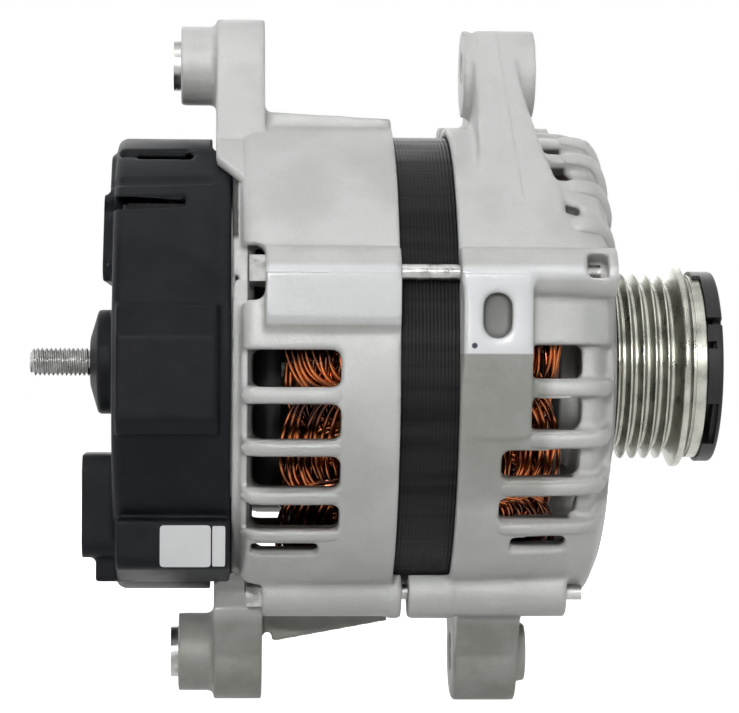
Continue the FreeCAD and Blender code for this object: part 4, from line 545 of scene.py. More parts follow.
class SharedGroups:
    """The node groups that more than one finish uses, each built once."""

    def __init__(self) -> None:
        """Builds the groups."""
        self.grain = self._grain()
        self.lines = self._lines()
        self.dust = self._dust()
        self.marks = BracketMarksAndShade.group()

    @staticmethod
    def _grain() -> bpy.types.NodeTree:
        """Cloudy colour, fine speckle and skin bump.

        Colour is a mix of two tones by slow noise, with a fine speckle. Height is a coarse noise plus
        0.4 of the speckle's noise, whose features are about a fifth as large.

        Returns:
            The group.
        """
        group, tree, given, made = new_group(
            "surface_grain",
            [("Vector", "Vector", None), ("Light", "Color", (0.8, 0.8, 0.8, 1.0)),
             ("Dark", "Color", (0.6, 0.6, 0.6, 1.0)), ("Cloud Scale", "Float", 60.0),
             ("Grain Scale", "Float", 1500.0), ("Speckle", "Float", 0.2), ("Rough Low", "Float", 0.4),
             ("Rough High", "Float", 0.6)],
            [("Color", "Color"), ("Roughness", "Float"), ("Height", "Float")])
        cloud, fine, skin = (tree.add("TexNoise") for _ in range(3))
        coarse = tree.product(given.outputs["Grain Scale"], 0.22)
        for noise, scale, detail in ((cloud, given.outputs["Cloud Scale"], 5.0),
                                     (fine, given.outputs["Grain Scale"], 2.0), (skin, coarse, 3.0)):
            tree.join(given.outputs["Vector"], noise.inputs["Vector"])
            tree.join(scale, noise.inputs["Scale"])
            noise.inputs["Detail"].default_value = detail
        tone = tree.blend(tree.ramp(cloud.outputs[0], 0.35, 0.65), given.outputs["Dark"], given.outputs["Light"])
        spot = tree.product(tree.ramp(fine.outputs[0], 0.55, 0.75), given.outputs["Speckle"])
        tree.join(tree.blend(spot, tone, given.outputs["Dark"], "MULTIPLY"), made.inputs["Color"])
        rough = tree.ramp(cloud.outputs[0], 0.3, 0.7, given.outputs["Rough Low"], given.outputs["Rough High"])
        tree.join(rough, made.inputs["Roughness"])
        height = tree.math("ADD", tree.product(fine.outputs[0], 0.4), skin.outputs[0])
        tree.join(height, made.inputs["Height"])
        return group

    @staticmethod
    def _lines() -> bpy.types.NodeTree:
        """Fine rings or sheets across the shaft: a sine of x with its phase shaken by noise.

        Returns:
            The group.
        """
        group, tree, given, made = new_group(
            "lines_across_shaft",
            [("Vector", "Vector", None), ("Pitch", "Float", 0.0005), ("Shake", "Float", 0.2)],
            [("Height", "Float"), ("Mask", "Float")])
        x, _, _ = tree.axes(given.outputs["Vector"])
        wobble = tree.noise(given.outputs["Vector"], 300.0, 2.0)
        phase = tree.math("DIVIDE", x, given.outputs["Pitch"])
        phase = tree.math("ADD", phase, tree.product(wobble, given.outputs["Shake"]))
        wave = tree.math("SINE", tree.product(phase, 2.0 * math.pi))
        tree.join(wave, made.inputs["Height"])
        tree.join(tree.math("MULTIPLY_ADD", wave, 0.5, 0.5), made.inputs["Mask"])
        return group

    @staticmethod
    def _dust() -> bpy.types.NodeTree:
        """A pale film in patches, thicker where a face looks up.

        The mask is slow noise, raised on faces whose normal points to +Z.

        Returns:
            The group.
        """
        group, tree, given, made = new_group(
            "settled_dust", [("Vector", "Vector", None), ("Amount", "Float", 0.3)], [("Mask", "Float")])
        patch = tree.ramp(tree.noise(given.outputs["Vector"], 90.0, 6.0, 0.65), 0.4, 0.75)
        _, _, rise = tree.axes(tree.add("NewGeometry").outputs["Normal"])
        upward = tree.ramp(rise, -0.2, 1.0, 0.35, 1.0)
        mask = tree.math("MULTIPLY", tree.product(patch, upward), given.outputs["Amount"], clamp=True)
        tree.join(mask, made.inputs["Mask"])
        return group


@dataclass
class BracketMarksAndShade:
    """What the mould and the tools leave on the cast brackets, and the painted shade laid on them, as masks on
    coordinates.
    """

    tree: Tree
    vector: Socket

    def __post_init__(self) -> None:
        """Splits the coordinates."""
        self.x, self.y, self.z = self.tree.axes(self.vector)

    @classmethod
    def group(cls) -> bpy.types.NodeTree:
        """Makes the group, with one output for each mask.

        Returns:
            The group.
        """
        names = ("Seam", "Face", "Dot", "ShadeBlots", "Shade")
        group, tree, given, made = new_group(
            "bracket_marks_and_shade", [("Vector", "Vector", None)], [(name, "Float") for name in names])
        marks = cls(tree, given.outputs["Vector"])
        for name, mask in zip(names, (marks.seam, marks.face, marks.dot, marks.shade_blots, marks.shade)):
            tree.join(mask(), made.inputs[name])
        return group

    def seam(self) -> Socket:
        """The mould's flash line down the arm, and a painted shadow line under the pad's top lip.

        The flash is the plane x + 0.0747 z = -34.1 mm, about 0.6 mm wide, above z = 48 mm, broken up
        by noise. The lip's line is painted shadow, dark at z = 25.4 mm, rearwards of x = -38.7 mm.

        Returns:
            The mask's socket.
        """
        tree = self.tree
        lean = tree.math("ADD", tree.math("MULTIPLY_ADD", self.z, 0.0747, self.x), 34.1 * MM)
        above = tree.math("SUBTRACT", self.z, 25.4 * MM)
        worn = tree.ramp(tree.noise(self.vector, 160.0, 3.0), 0.35, 0.55, 0.35, 1.0)
        flash = tree.zone((tree.math("ABSOLUTE", lean), 0.5, 0.12), (self.z, 44.0, 52.0))
        # painted shadow: a dark line where the pad's top lip shades the face below it
        lip = tree.zone((tree.math("ABSOLUTE", above), 0.5, 0.1), (self.y, -69.5, -70.5), (self.x, -38.4, -39.0))
        return tree.largest(tree.product(flash, worn), lip)

    def face(self) -> Socket:
        """The pad's machined face: all that lies beyond y = -71.9 mm above z = 3 mm."""
        return self.tree.zone((self.y, -71.6, -72.2), (self.z, 3.0, 3.6))

    def dot(self) -> Socket:
        """A punch mark of 0.8 mm radius on that face, at x = -52.9 mm and z = 5.5 mm."""
        return self.tree.zone((self.tree.distance(self.vector, (-52.9 * MM, -72.6 * MM, 5.5 * MM)), 1.0, 0.6))

    def shade_blots(self) -> Socket:
        """Painted shade in blots, a greenish grey darkening where the lamps leave the brackets dim.

        It is strong on the ears below z = -73 mm, under the drum. On the front bracket's flat side, x from -57 to
        -32 mm and y under -58 mm, it is strong below z = 3 mm and weaker downwards. On the rear
        bracket's land, x from -110.8 to -73.2 mm and y under -69.9 mm, it is weak.

        Returns:
            The mask's socket.
        """
        tree, x, y, z = self.tree, self.x, self.y, self.z
        ears = tree.zone((z, -70.5, -75.5))
        side = tree.zone((x, -57.5, -56.5), (x, -30.0, -34.0), (y, -56.0, -60.0), (z, 3.6, 3.0))
        side = tree.product(side, tree.ramp(z, -62.0 * MM, -15.0 * MM, 0.25, 0.85))
        land = tree.zone((x, -111.2, -110.4), (x, -72.9, -73.5), (y, -69.6, -70.2), (z, 25.6, 25.0), (z, 8.0, 9.0))
        blot = tree.ramp(tree.noise(self.vector, 70.0, 5.0, 0.6), 0.3, 0.65, 0.72, 1.0)
        # painted shade: the blots darken the lower ears, the lower flat side and the land as shade would
        return tree.product(tree.largest(ears, side, tree.product(land, 0.28)), blot)

    def shade(self) -> Socket:
        """Painted shade in the hollows.

        It lies inside a radius of 69 mm in the rear bracket's vents and of 66.5 mm in the front one's,
        in the blind vent beside the arm, on the rim behind the cover's edge above z = 35 mm, and
        weaker at the bottom of the pad's slot.

        Returns:
            The mask's socket.
        """
        tree, x, y, z = self.tree, self.x, self.y, self.z
        reach = tree.distance(tree.stretched(self.vector, (0.0, 1.0, 1.0)))
        aside = tree.math("ABSOLUTE", tree.math("ADD", x, 46.52 * MM))
        blind = tree.distance(self.vector, (-23.8 * MM, -49.0 * MM, 44.0 * MM))
        slot = tree.zone((aside, 5.0, 4.2), (y, -71.6, -70.6), (y, -64.0, -65.5), (z, 5.0, 6.0), (z, 22.5, 21.5))
        # painted shade: near black where the vents, the blind vent, the rim and the pad's slot lie in shadow
        return tree.largest(
            tree.product(slot, 0.75),
            tree.zone((x, -115.0, -114.4), (x, -86.0, -88.0), (reach, 69.5, 68.2)),
            tree.zone((x, -50.0, -48.0), (x, -23.6, -25.0), (reach, 67.2, 65.8)),
            tree.zone((blind, 3.6, 2.4), (reach, 67.4, 66.4)),
            tree.zone((x, -116.8, -117.2), (reach, 66.4, 66.0), (z, 34.0, 36.0), (y, -23.0, -25.0)))


class MarkTone(Enum):
    """What each mask of the brackets' marks and painted shade does to the colour: its tone and how much of it."""

    Face = ((0.80, 0.81, 0.83), 0.8)
    Dot = ((0.04, 0.04, 0.07), 1.0)
    # The last two tones are painted shade: greenish grey blots, and near black in the hollows.
    ShadeBlots = ((0.25, 0.255, 0.215), 0.85)
    Shade = ((0.028, 0.029, 0.027), 0.93)


@dataclass(frozen=True)
class Finish:
    """One finish: its tones, gloss and grain and, where it has them, lines across the shaft, marks with painted
    shade, and dust.
    """

    name: str
    light: Color
    dark: Color
    metallic: float = 0.0
    rough: tuple[float, float] = (0.4, 0.55)
    cloud_scale: float = 60.0
    grain_scale: float = 1500.0
    speckle: float = 0.15
    bump: float = 0.15
    bump_reach: float = 0.0002
    line_pitch: float = 0.0
    line_strength: float = 0.0
    line_tone: float = 0.0
    dust: float = 0.0
    dust_tone: Color = (0.45, 0.44, 0.42)
    coat: float = 0.0
    specular: float = 0.5
    streak: Color | None = None
    marked: bool = False
    coat_rough: float = 0.15
    dust_rough: float = 0.85
    faced_rough: float = 0.33
    seam_and_shadow_share: float = 0.35
    seam_height: float = 1.6
    punch_depth: float = 1.5

    def build(self, groups: SharedGroups) -> bpy.types.Material:
        """Makes the material.

        Args:
            groups: the shared node groups.

        Returns:
            The material.
        """
        material = bpy.data.materials.new(self.name)
        material.use_nodes = True
        tree = Tree(material.node_tree.nodes, material.node_tree.links)
        shader = tree.nodes["Principled BSDF"]
        shader.inputs["Metallic"].default_value = self.metallic
        shader.inputs["Coat Weight"].default_value = self.coat
        shader.inputs["Coat Roughness"].default_value = self.coat_rough
        shader.inputs["Specular IOR Level"].default_value = self.specular
        place = tree.add("TexCoord").outputs["Object"]
        grain = tree.effect(groups.grain, tree.stretched(place, self.streak) if self.streak else place)
        for socket, value in (("Light", (*self.light, 1.0)), ("Dark", (*self.dark, 1.0)),
                              ("Cloud Scale", self.cloud_scale), ("Grain Scale", self.grain_scale),
                              ("Speckle", self.speckle), ("Rough Low", self.rough[0]), ("Rough High", self.rough[1])):
            grain.inputs[socket].default_value = value
        color, rough, height = (grain.outputs[n] for n in ("Color", "Roughness", "Height"))
        if self.line_pitch:
            lines = tree.effect(groups.lines, place)
            lines.inputs["Pitch"].default_value = self.line_pitch
            color = tree.blend(tree.product(lines.outputs["Mask"], self.line_tone), color, self.dark)
            height = tree.math("ADD", height, tree.product(lines.outputs["Height"], self.line_strength))
        if self.marked:
            marks = tree.effect(groups.marks, place).outputs
            # Painted shade enters here: the dark line under the pad's lip darkens with the flash line, and the blots
            # and hollows among the mark tones are painted shade.
            color = tree.blend(tree.product(marks["Seam"], self.seam_and_shadow_share), color, self.dark)
            for mark in MarkTone:
                tone, share = mark.value
                color = tree.blend(tree.product(marks[mark.name], share), color, tone)
            rough = tree.ramp(marks["Face"], 0.0, 1.0, rough, self.faced_rough)
            height = tree.math("ADD", height, tree.product(marks["Seam"], self.seam_height))
            height = tree.math("SUBTRACT", height, tree.product(marks["Dot"], self.punch_depth))
        if self.dust:
            dust = tree.effect(groups.dust, place)
            dust.inputs["Amount"].default_value = self.dust
            color = tree.blend(dust.outputs["Mask"], color, self.dust_tone)
            rough = tree.ramp(dust.outputs["Mask"], 0.0, 1.0, rough, self.dust_rough)
        tree.join(color, shader.inputs["Base Color"])
        tree.join(rough, shader.inputs["Roughness"])
        bump = tree.add("Bump")
        bump.inputs["Strength"].default_value = self.bump
        bump.inputs["Distance"].default_value = self.bump_reach
        tree.join(height, bump.inputs["Height"])
        tree.join(bump.outputs["Normal"], shader.inputs["Normal"])
        return material


class Skin(Enum):
    """The alternator's finishes."""

    CAST = Finish("cast_aluminium", (0.65, 0.65, 0.64), (0.54, 0.545, 0.525), metallic=0.14, rough=(0.40, 0.54),
                  cloud_scale=38.0, grain_scale=2300.0, speckle=0.25, bump=0.36, bump_reach=0.0003, marked=True,
                  specular=0.4)
    LAMINATED = Finish("stator_steel", (0.018, 0.018, 0.0175), (0.0045, 0.0045, 0.005), metallic=0.25,
                       rough=(0.35, 0.55), cloud_scale=250.0, grain_scale=2200.0, speckle=0.4, bump=0.5,
                       bump_reach=0.0003, line_pitch=0.001, line_strength=0.35, line_tone=0.3, specular=0.15,
                       streak=(0.06, 1.0, 1.0))
    COPPER = Finish("enamelled_copper", (0.60, 0.18, 0.052), (0.045, 0.011, 0.005), metallic=0.95, rough=(0.12, 0.2),
                    cloud_scale=130.0, grain_scale=900.0, speckle=0.2, bump=0.05, coat=0.4)
    # Painted shade: near-black copper for the winding's inside, which lies in the loops' shadow.
    HEART = Finish("painted_shade_copper", (0.020, 0.009, 0.006), (0.009, 0.005, 0.004), rough=(0.6, 0.8),
                   cloud_scale=300.0, grain_scale=900.0, speckle=0.4, specular=0.1)
    PAPER = Finish("slot_paper", (0.55, 0.48, 0.30), (0.40, 0.33, 0.20), rough=(0.6, 0.75))
    ZINC = Finish("zinc_steel", (0.48, 0.48, 0.47), (0.30, 0.30, 0.29), metallic=0.95, rough=(0.25, 0.4),
                  cloud_scale=300.0, grain_scale=3000.0, bump=0.12)
    BEARING = Finish("bearing_steel", (0.62, 0.62, 0.63), (0.52, 0.52, 0.53), metallic=1.0, rough=(0.12, 0.22),
                     cloud_scale=200.0, bump=0.03)
    CAGE = Finish("cage_plastic", (0.30, 0.22, 0.12), (0.22, 0.16, 0.08), rough=(0.4, 0.55))
    RUBBER = Finish("seal_rubber", (0.022, 0.022, 0.022), (0.014, 0.014, 0.014), rough=(0.55, 0.7))
    SLEEVE = Finish("sleeve_plastic", (0.06, 0.06, 0.06), (0.04, 0.04, 0.04), rough=(0.4, 0.55))
    ROTOR = Finish("rotor_steel", (0.20, 0.19, 0.18), (0.11, 0.105, 0.10), metallic=0.85, rough=(0.35, 0.55),
                   cloud_scale=90.0, bump=0.25, dust=0.15)
    SHAFT = Finish("shaft_steel", (0.52, 0.52, 0.52), (0.42, 0.42, 0.42), metallic=1.0, rough=(0.2, 0.32), bump=0.05)
    BOBBIN = Finish("bobbin_plastic", (0.55, 0.50, 0.38), (0.45, 0.40, 0.29), rough=(0.5, 0.6))
    FAN = Finish("fan_steel", (0.060, 0.062, 0.058), (0.030, 0.031, 0.029), metallic=0.3, rough=(0.4, 0.55), bump=0.1)
    RING = Finish("ring_copper", (0.60, 0.30, 0.14), (0.48, 0.22, 0.10), metallic=1.0, rough=(0.15, 0.25), bump=0.05)
    PULLEY = Finish("pulley_steel", (0.46, 0.46, 0.41), (0.30, 0.30, 0.265), metallic=0.95, rough=(0.24, 0.38),
                    cloud_scale=160.0, grain_scale=2500.0, bump=0.25, line_pitch=0.00045, line_strength=0.5,
                    line_tone=0.12, bump_reach=0.0001)
    CAP = Finish("cap_plastic", (0.016, 0.016, 0.017), (0.010, 0.010, 0.011), rough=(0.38, 0.5), bump=0.12, dust=0.03,
                 specular=0.3)
    COVER = Finish("cover_plastic", (0.0122, 0.0134, 0.0162), (0.0070, 0.0080, 0.0100), rough=(0.42, 0.55),
                   cloud_scale=45.0, grain_scale=3200.0, speckle=0.2, bump=0.3, bump_reach=0.00012, dust=0.07,
                   dust_tone=(0.10, 0.105, 0.112), specular=0.11)
    SINK = Finish("sink_aluminium", (0.60, 0.60, 0.59), (0.50, 0.50, 0.49), metallic=0.9, rough=(0.3, 0.45), bump=0.1)
    DARK = Finish("dark_plastic", (0.035, 0.035, 0.035), (0.022, 0.022, 0.022), rough=(0.45, 0.6), bump=0.1)
    DIODE = Finish("diode_metal", (0.50, 0.46, 0.40), (0.40, 0.36, 0.31), metallic=0.9, rough=(0.3, 0.45))
    CARBON = Finish("brush_carbon", (0.045, 0.038, 0.034), (0.030, 0.026, 0.024), metallic=0.2, rough=(0.5, 0.65))
    SPRING = Finish("spring_steel", (0.50, 0.50, 0.50), (0.40, 0.40, 0.40), metallic=1.0, rough=(0.25, 0.4))
    TINNED = Finish("tinned_brass", (0.58, 0.55, 0.46), (0.50, 0.47, 0.38), metallic=1.0, rough=(0.22, 0.32))
    LABEL = Finish("label_foil", (0.82, 0.825, 0.83), (0.76, 0.765, 0.77), rough=(0.4, 0.5), cloud_scale=30.0,
                   grain_scale=4000.0, speckle=0.05, bump=0.05)


# The foil rides in the cover's slot, and the winding's heart, near-black copper painted as shade, in the copper's.
SLOTS = {skin: skin.value.name for skin in Skin}
SLOTS[Skin.LABEL] = "cover_plastic"
SLOTS[Skin.HEART] = "enamelled_copper"


@dataclass
class Wardrobe:
    """Materials by finish, made when first asked for."""

    groups: SharedGroups = field(default_factory=SharedGroups)
    made: dict[Skin, bpy.types.Material] = field(default_factory=dict)

    def material(self, skin: Skin) -> bpy.types.Material:
        """The material of a finish, made at its first call.

        Args:
            skin: the finish.

        Returns:
            The material.
        """
        if skin not in self.made:
            self.made[skin] = skin.value.build(self.groups)
        return self.made[skin]

    def dress(self, thing: bpy.types.Object, skin: Skin) -> None:
        """Gives an object one finish.

        Args:
            thing: the object.
            skin: its finish.
        """
        if thing.material_slots:
            for place in thing.material_slots:
                place.material = self.material(skin)
        else:
            thing.data.materials.append(self.material(skin))

    def piece(self, thing: bpy.types.Object, skin: Skin, body: str, *nodes: str) -> None:
        """Dresses a new piece, puts it on its body and has it stand for CAD nodes.

        Args:
            thing: the piece.
            skin: its finish.
            body: the CAD body that it rides on.
            *nodes: the CAD nodes that it replaces.
        """
        self.dress(thing, skin)
        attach(thing, body)
        if nodes:
            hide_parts(*nodes)
        LOG.info("piece %s on %s", thing.name, body)


# ---------------------------------------------------------------- sub-assemblies


@dataclass(frozen=True)
class Groove:
    """A groove in a shell's near side.

    Its fields are its two ends, its height at the front end, its rise along X, half its height and
    its depth.
    """

    start: float
    end: float
    level: float
    rise: float
    half: float
    depth: float


@dataclass
class Castings:
    """The two cast brackets and the moulded rear cover, with the soft edges that a mould leaves."""

    wardrobe: Wardrobe
    nodes: dict[str, bpy.types.Object]
    edge: float = 0.6 * MM
    least_outward: float = 0.25
    grooves: dict[str, tuple[Groove, ...]] = field(default_factory=lambda: {
        "rear_cover": (
            Groove(-150.5 * MM, -131.6 * MM, 60.4 * MM, 0.02, 0.9 * MM, 2.0 * MM),
            Groove(-154.0 * MM, -124.2 * MM, 51.8 * MM, 0.03, 1.0 * MM, 0.7 * MM),
            Groove(-160.0 * MM, -132.2 * MM, 45.8 * MM, 0.05, 1.5 * MM, 3.0 * MM),
            Groove(-122.9 * MM, -122.3 * MM, 24.0 * MM, 0.0, 30.0 * MM, 0.4 * MM)),
        "front_housing": (
            Groove(-25.8 * MM, -21.9 * MM, 43.6 * MM, -0.3, 1.5 * MM, 3.3 * MM),)})
    shells: tuple[tuple[str, str, Skin, float, int], ...] = (
        ("front_housing", "front_casting", Skin.CAST, 0.8 * MM, 3),
        ("rear_housing", "rear_casting", Skin.CAST, 0.8 * MM, 3),
        ("rear_cover", "moulded_cover", Skin.COVER, 0.65 * MM, 1))

    def build(self) -> None:
        """Makes the three shells, each from its node with its own voxel and rounds of smoothing."""
        coarser = 1.0
        for node, name, skin, voxel, rounds in self.shells:
            shell = softened_copy(self.nodes[node], name, voxel * coarser, rounds)
            self.engrave(shell, self.grooves.get(node, ()))
            self.wardrobe.piece(shell, skin, "housing", node)

    def engrave(self, shell: bpy.types.Object, grooves: tuple[Groove, ...]) -> None:
        """Sinks grooves into a shell's outer skin.

        A point that faces outwards on the near side moves towards the shaft by depth * a * b, where a
        is a soft step of its distance from the groove's middle height and b one of its place between
        the groove's ends.

        Args:
            shell: the node's copy.
            grooves: the grooves.
        """
        count = len(shell.data.vertices)
        points, normals = np.empty(count * 3, dtype=np.float32), np.empty(count * 3, dtype=np.float32)
        shell.data.vertices.foreach_get("co", points)
        shell.data.vertices.foreach_get("normal", normals)
        points, normals = points.reshape(-1, 3).astype(float), normals.reshape(-1, 3)
        outward = unit(points * np.array([0.0, 1.0, 1.0]))
        faces_out = (np.sum(outward * normals, axis=1) > self.least_outward) & (points[:, 1] < 0.0)
        x, _, z = points.T
        sunk = np.zeros(count)
        for cut in grooves:
            off = np.abs(z - cut.level - cut.rise * (x - cut.end))
            share = np.prod([np.clip((room + self.edge) / (2.0 * self.edge), 0.0, 1.0)
                             for room in (cut.half - off, x - cut.start, cut.end - x)], axis=0)
            sunk = np.maximum(sunk, cut.depth * share * share * (3.0 - 2.0 * share))
        points -= outward * (sunk * faces_out)[:, None]
        shell.data.vertices.foreach_set("co", points.astype(np.float32).ravel())
        shell.data.update()


@dataclass(frozen=True)
class Beads:
    """A set of equal beads on a casting.

    Its fields are each bead's turn in degrees and its first x, the last x of all, the x and radius of
    the casting's surface under them, half a bead's width, and its height over the casting.
    """

    turns: tuple[float, ...]
    starts: tuple[float, ...]
    end: float
    profile: tuple[tuple[float, ...], tuple[float, ...]]
    half: float
    proud: float


@dataclass
class VentRibs:
    """The half round beads that stand proud on the bars between the vent slots of both brackets."""

    wardrobe: Wardrobe
    steps: int = 30
    around: int = 12
    sunk: float = 0.1 * MM
    rear: Beads = Beads(
        (96.9, 109.1, 121.3, 132.3), (-116.4 * MM,) * 4, -87.8 * MM,
        ((-116.0 * MM, -113.5 * MM, -111.0 * MM, -84.0 * MM), (69.2 * MM, 70.3 * MM, 70.9 * MM, 70.6 * MM)),
        2.1 * MM, 1.3 * MM)
    front: Beads = Beads(
        (95.1, 107.5, 119.8, 131.5), (-35.6 * MM, -37.4 * MM, -45.0 * MM, -45.0 * MM), -14.2 * MM,
        ((-48.0 * MM, -22.5 * MM, -18.0 * MM, -15.5 * MM, -14.0 * MM),
         (69.4 * MM, 68.4 * MM, 67.5 * MM, 65.6 * MM, 63.4 * MM)),
        2.2 * MM, 1.2 * MM)
    nose_turns: tuple[float, ...] = (17.5, 29.8, 42.1, 54.4)
    nose_half: float = 3.0 * MM
    nose_proud: float = 1.6 * MM
    shoulder_mm: tuple[tuple[float, float], ...] = (
        (-25.5, 68.4), (-20.0, 67.8), (-17.0, 67.0), (-15.5, 65.4), (-14.5, 63.6), (-13.5, 61.0), (-12.6, 57.5),
        (-11.8, 52.0))

    def section(self) -> tuple[np.ndarray, np.ndarray, np.ndarray]:
        """The section that all beads share, for arrays of (bead, step, side).

        With t from 0 to 1 along a bead and a round its section, the first share is cos(a) times the
        fourth root of 1 - (2t - 1) ** 8 and the second is sin(a) * (1 - (2t - 1) ** 6), so that both
        ends run out into the casting.

        Returns:
            t, the share of the half width and the share of the height.
        """
        t = np.linspace(0.0, 1.0, self.steps)[None, :, None]
        angle = whole_turn(self.around)[None, None, :]
        taper = np.clip(1.0 - (2.0 * t - 1.0) ** 8, 1e-6, 1.0) ** 0.25
        lift = np.clip(1.0 - (2.0 * t - 1.0) ** 6, 1e-3, 1.0)
        return t, np.cos(angle) * taper, np.sin(angle) * lift

    def straight(self, beads: Beads) -> Mesh:
        """Three quarter turns of a set of beads along the shaft's direction.

        A point lies its share of the half width to the side of the bead's turn and its share of the
        height above the casting's radius at its x.

        Args:
            beads: the set.

        Returns:
            Points and quads.
        """
        t, across, height = self.section()
        turns = np.radians(np.array(beads.turns)[None, :] + np.arange(3)[:, None] * 90.0).ravel()[:, None, None]
        starts = np.tile(np.array(beads.starts), 3)[:, None, None]
        x = starts + (beads.end - starts) * t
        level = np.interp(x, *beads.profile)
        radius = level - self.sunk + beads.proud * height
        points = about_shaft(x, radius, turns + beads.half * across / level)
        return points.reshape(-1, 3), repeated_grids(turns.size, self.steps, self.around)

    def over_nose(self) -> Mesh:
        """The beads that run over the front bracket's shoulder.

        A bead follows the shoulder's profile by its length. A point lies its share of the half width
        to the side of the bead's turn, and its share of the height above the profile, at right angles
        to it.

        Returns:
            Points and quads.
        """
        t, across, height = self.section()
        knots = np.array(self.shoulder_mm) * MM
        length = np.append(0.0, np.cumsum(np.linalg.norm(np.diff(knots, axis=0), axis=1)))
        path = np.stack([np.interp(t[0, :, 0] * length[-1], length, knots[:, axis]) for axis in (0, 1)], axis=1)
        along = unit(np.gradient(path, axis=0))
        height = self.nose_proud * height - self.sunk
        x = path[None, :, :1] - along[None, :, 1:] * height
        radius = path[None, :, 1:] + along[None, :, :1] * height
        turns = np.radians(self.nose_turns)[:, None, None]
        points = about_shaft(x, radius, turns + self.nose_half * across / radius)
        return points.reshape(-1, 3), repeated_grids(turns.size, self.steps, self.around)

    def build(self) -> None:
        """Makes the beads: three groups of four on each bracket, and four over the nose beside the front arm."""
        for name, (points, faces) in (("rear_ribs", self.straight(self.rear)),
                                      ("front_ribs", self.straight(self.front)),
                                      ("nose_ribs", self.over_nose())):
            beads = with_normals_out(mesh_object(name, points, faces))
            self.wardrobe.piece(beads, Skin.CAST, "housing")


@dataclass
class EarWeb:
    """The web of the rear bracket that runs from the upper ear's root over the corner of the cover."""

    wardrobe: Wardrobe
    tip: float = -123.45 * MM
    root: float = -115.0 * MM
    middle: float = 68.0 * MM
    half: float = 1.7 * MM
    first_turn: float = 17.0
    last_turns: tuple[float, float] = (31.0, 41.4)
    stations: int = 24
    arc_points: int = 14
    edge_points: int = 7

    def build(self) -> None:
        """Makes the web: a curved plate about the shaft whose lower edge is round and runs aslant.

        With t from 0 to 1 along X, the half thickness is half * (1 - (2t - 1) ** 8) ** 0.25. A row of
        points goes out along the outer arc to the turn that belongs to its x, in a half circle round
        the edge, and back along the inner arc.
        """
        t = np.linspace(0.0, 1.0, self.stations)[:, None]
        thick = self.half * np.clip(1.0 - (2.0 * t - 1.0) ** 8, 0.0, 1.0) ** 0.25
        last = np.radians(self.last_turns[0] + (self.last_turns[1] - self.last_turns[0]) * t)
        share = np.linspace(0.0, 1.0, self.arc_points)[None, :]
        arc = np.radians(self.first_turn) + (last - np.radians(self.first_turn)) * share
        edge = np.linspace(0.5 * np.pi, -0.5 * np.pi, self.edge_points + 2)[None, 1:-1]
        turn = np.hstack([arc, last + thick * np.cos(edge) / self.middle, arc[:, ::-1]])
        radius = self.middle + np.hstack([thick + 0.0 * arc, thick * np.sin(edge), -thick + 0.0 * arc])
        points = about_shaft(self.tip + (self.root - self.tip) * t, radius, turn).reshape(-1, 3)
        web = mesh_object("rear_ear_web", points, grid_faces(self.stations, turn.shape[1], False, True))
        self.wardrobe.piece(with_normals_out(web), Skin.CAST, "housing")


@dataclass
class ShadeCollar:
    """A black collar on the rear bracket's inner wall before the rear fan, put there as painted shade inside the
    vents.
    """

    wardrobe: Wardrobe
    wall: float = -113.0 * MM
    mouth: float = -104.8 * MM
    outer: float = 41.0 * MM
    thick: float = 1.6 * MM
    flare: float = 0.8 * MM
    bead: float = 0.4 * MM
    around: int = 120

    def build(self) -> None:
        """Makes the collar: a closed section turned about the shaft, flared at its mouth."""
        soft = self.mouth - self.bead
        along = np.array([self.wall, soft, self.mouth, self.mouth, soft, self.wall])
        radius = self.outer + np.array([0.0, self.flare, self.flare - self.bead,
                                        self.flare + self.bead - self.thick, -self.thick, -self.thick])
        points = turned_points(along, radius, self.around)
        faces = grid_faces(self.around, along.size, True, True)
        collar = with_normals_out(mesh_object("rear_shade_collar", points, faces))
        # painted shade: the near-black collar darkens the inside that the rear vents show
        self.wardrobe.piece(collar, Skin.DARK, "housing")


